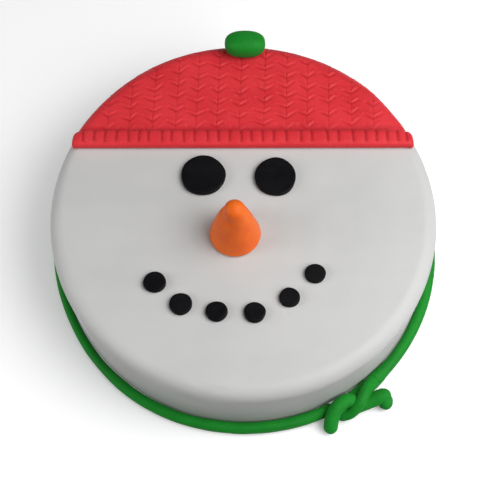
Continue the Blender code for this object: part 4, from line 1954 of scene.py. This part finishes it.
@dataclass(frozen=True)
class Studio:
    """A plain pale floor, soft lights and the camera."""

    lights: tuple[Softbox, ...] = (
        Softbox("key", (0.65, -0.28, 0.68), 1.0, 7.7),
        Softbox("fill", (-0.86, -0.20, 0.42), 0.6, 3.9),
        Softbox("overhead", (0.42, 0.02, 0.70), 0.7, 2.7),
    )
    world: float = 0.10
    glow: float = 0.20  # the floor is lit from below, as a white backdrop is
    floor_half: float = 3.0
    floor_colour: tuple[float, float, float, float] = (0.93, 0.93, 0.935, 1.0)
    floor_roughness: float = 0.9
    floor_specular: float = 0.1
    camera_at: tuple[float, float, float] = (0.00448, -0.28241, 0.61195)
    camera_back: tuple[float, float, float] = (0.0, -0.4127, 0.9109)
    camera_up: tuple[float, float, float] = (0.006, 0.9109, 0.4127)
    lens: float = 66.846
    sensor: float = 36.0

    def build(self) -> None:
        """Build the floor, the lights, the world and the camera."""
        for light in self.lights:
            light.build()
        self._world()
        self._floor()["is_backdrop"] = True
        self._camera()

    def _world(self) -> None:
        """Fill the room with soft white light."""
        world = bpy.data.worlds.new("studio")
        world.use_nodes = True
        background = world.node_tree.nodes["Background"]
        background.inputs["Color"].default_value = (1.0, 1.0, 1.0, 1.0)
        background.inputs["Strength"].default_value = self.world
        bpy.context.scene.world = world
        bpy.context.scene.view_settings.view_transform = "Standard"

    def _floor(self) -> bpy.types.Object:
        """Lay the pale floor.

        Returns:
            The floor, which gives the cake no light of its own.
        """
        sides = ((-1, -1), (1, -1), (1, 1), (-1, 1))
        corners = [(x * self.floor_half, y * self.floor_half, 0.0) for x, y in sides]
        floor = place("studio_floor", mesh_of(corners, [(0, 1, 2, 3)]))
        material = bpy.data.materials.new("pale floor")
        material.use_nodes = True
        Wiring(material.node_tree).fill(material.node_tree.nodes["Principled BSDF"], {
            "Base Color": self.floor_colour,
            "Roughness": self.floor_roughness,
            "Specular IOR Level": self.floor_specular,
            "Emission Strength": self.glow,
        })
        floor.data.materials.append(material)
        floor.visible_diffuse = False
        return floor

    def _camera(self) -> None:
        """Set the camera at the photograph's angle."""
        data = bpy.data.cameras.new("camera")
        data.lens = self.lens
        data.sensor_width = self.sensor
        camera = place("camera", data)
        back = Vector(self.camera_back).normalized()
        right = Vector(self.camera_up).cross(back).normalized()
        turn = Matrix((right, back.cross(right), back)).transposed().to_4x4()
        camera.matrix_world = Matrix.Translation(self.camera_at) @ turn
        bpy.context.scene.camera = camera


FINISHES = (
    PasteFinish(
        Paste.WHITE,
        light=(0.578, 0.578, 0.570),
        deep=(0.548, 0.550, 0.545),
        cloud_size=60 * MM,
        roughness=0.5,
        specular=0.35,
        pore_depth=0.06 * MM,
        mark_size=14 * MM,
        mark_depth=0.3 * MM,
    ),
    PasteFinish(
        Paste.RED,
        light=(0.73, 0.034, 0.045),
        deep=(0.65, 0.025, 0.034),
        dust=(0.85, 0.35, 0.37),
        dust_amount=0.12,
        # The deeper red of the pressed marks, with painted shade in the grooves, slits and the
        # crease under the brim, and the paler red painted as a highlight on the ridges
        pressed=(0.47, 0.012, 0.020),
        ridge_highlight=(0.86, 0.075, 0.085),
    ),
    PasteFinish(
        Paste.GREEN,
        light=(0.009, 0.26, 0.022),
        deep=(0.006, 0.20, 0.015),
        dust=(0.20, 0.45, 0.22),
        dust_amount=0.08,
        cloud_size=22 * MM,
        roughness=0.6,
        specular=0.15,
    ),
    PasteFinish(
        Paste.BLACK,
        light=(0.0045, 0.0042, 0.0052),
        deep=(0.0028, 0.0026, 0.0034),
        dust=(0.03, 0.03, 0.034),
        dust_amount=0.2,
        roughness=0.5,
        specular=0.10,
        sheen=0.0,
    ),
    PasteFinish(
        Paste.ORANGE,
        light=(0.86, 0.166, 0.011),
        deep=(0.79, 0.113, 0.006),
        dust=(0.95, 0.38, 0.14),
        dust_amount=0.12,
        cloud_size=14 * MM,
        streak=0.5,
        roughness=0.48,
    ),
)
PIECES = (IcedCake, KnittedCrown, RibbedBrim, Bobble, CoalDiscs, CarrotNose, RopeScarf)


def main() -> None:
    """Build the cake and everything that decorates it, then the studio round it."""
    logging.basicConfig(level=logging.INFO, format="%(name)s: %(message)s")
    materials = {finish.paste: finish.material() for finish in FINISHES}
    for piece in PIECES:
        piece(materials).build()
    Studio().build()
    boxes = {
        name: [list(corner) for corner in box]
        for name, box in (("cad", CAD_BOX), ("visual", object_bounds()))
    }


if __name__ == "__main__":
    main()
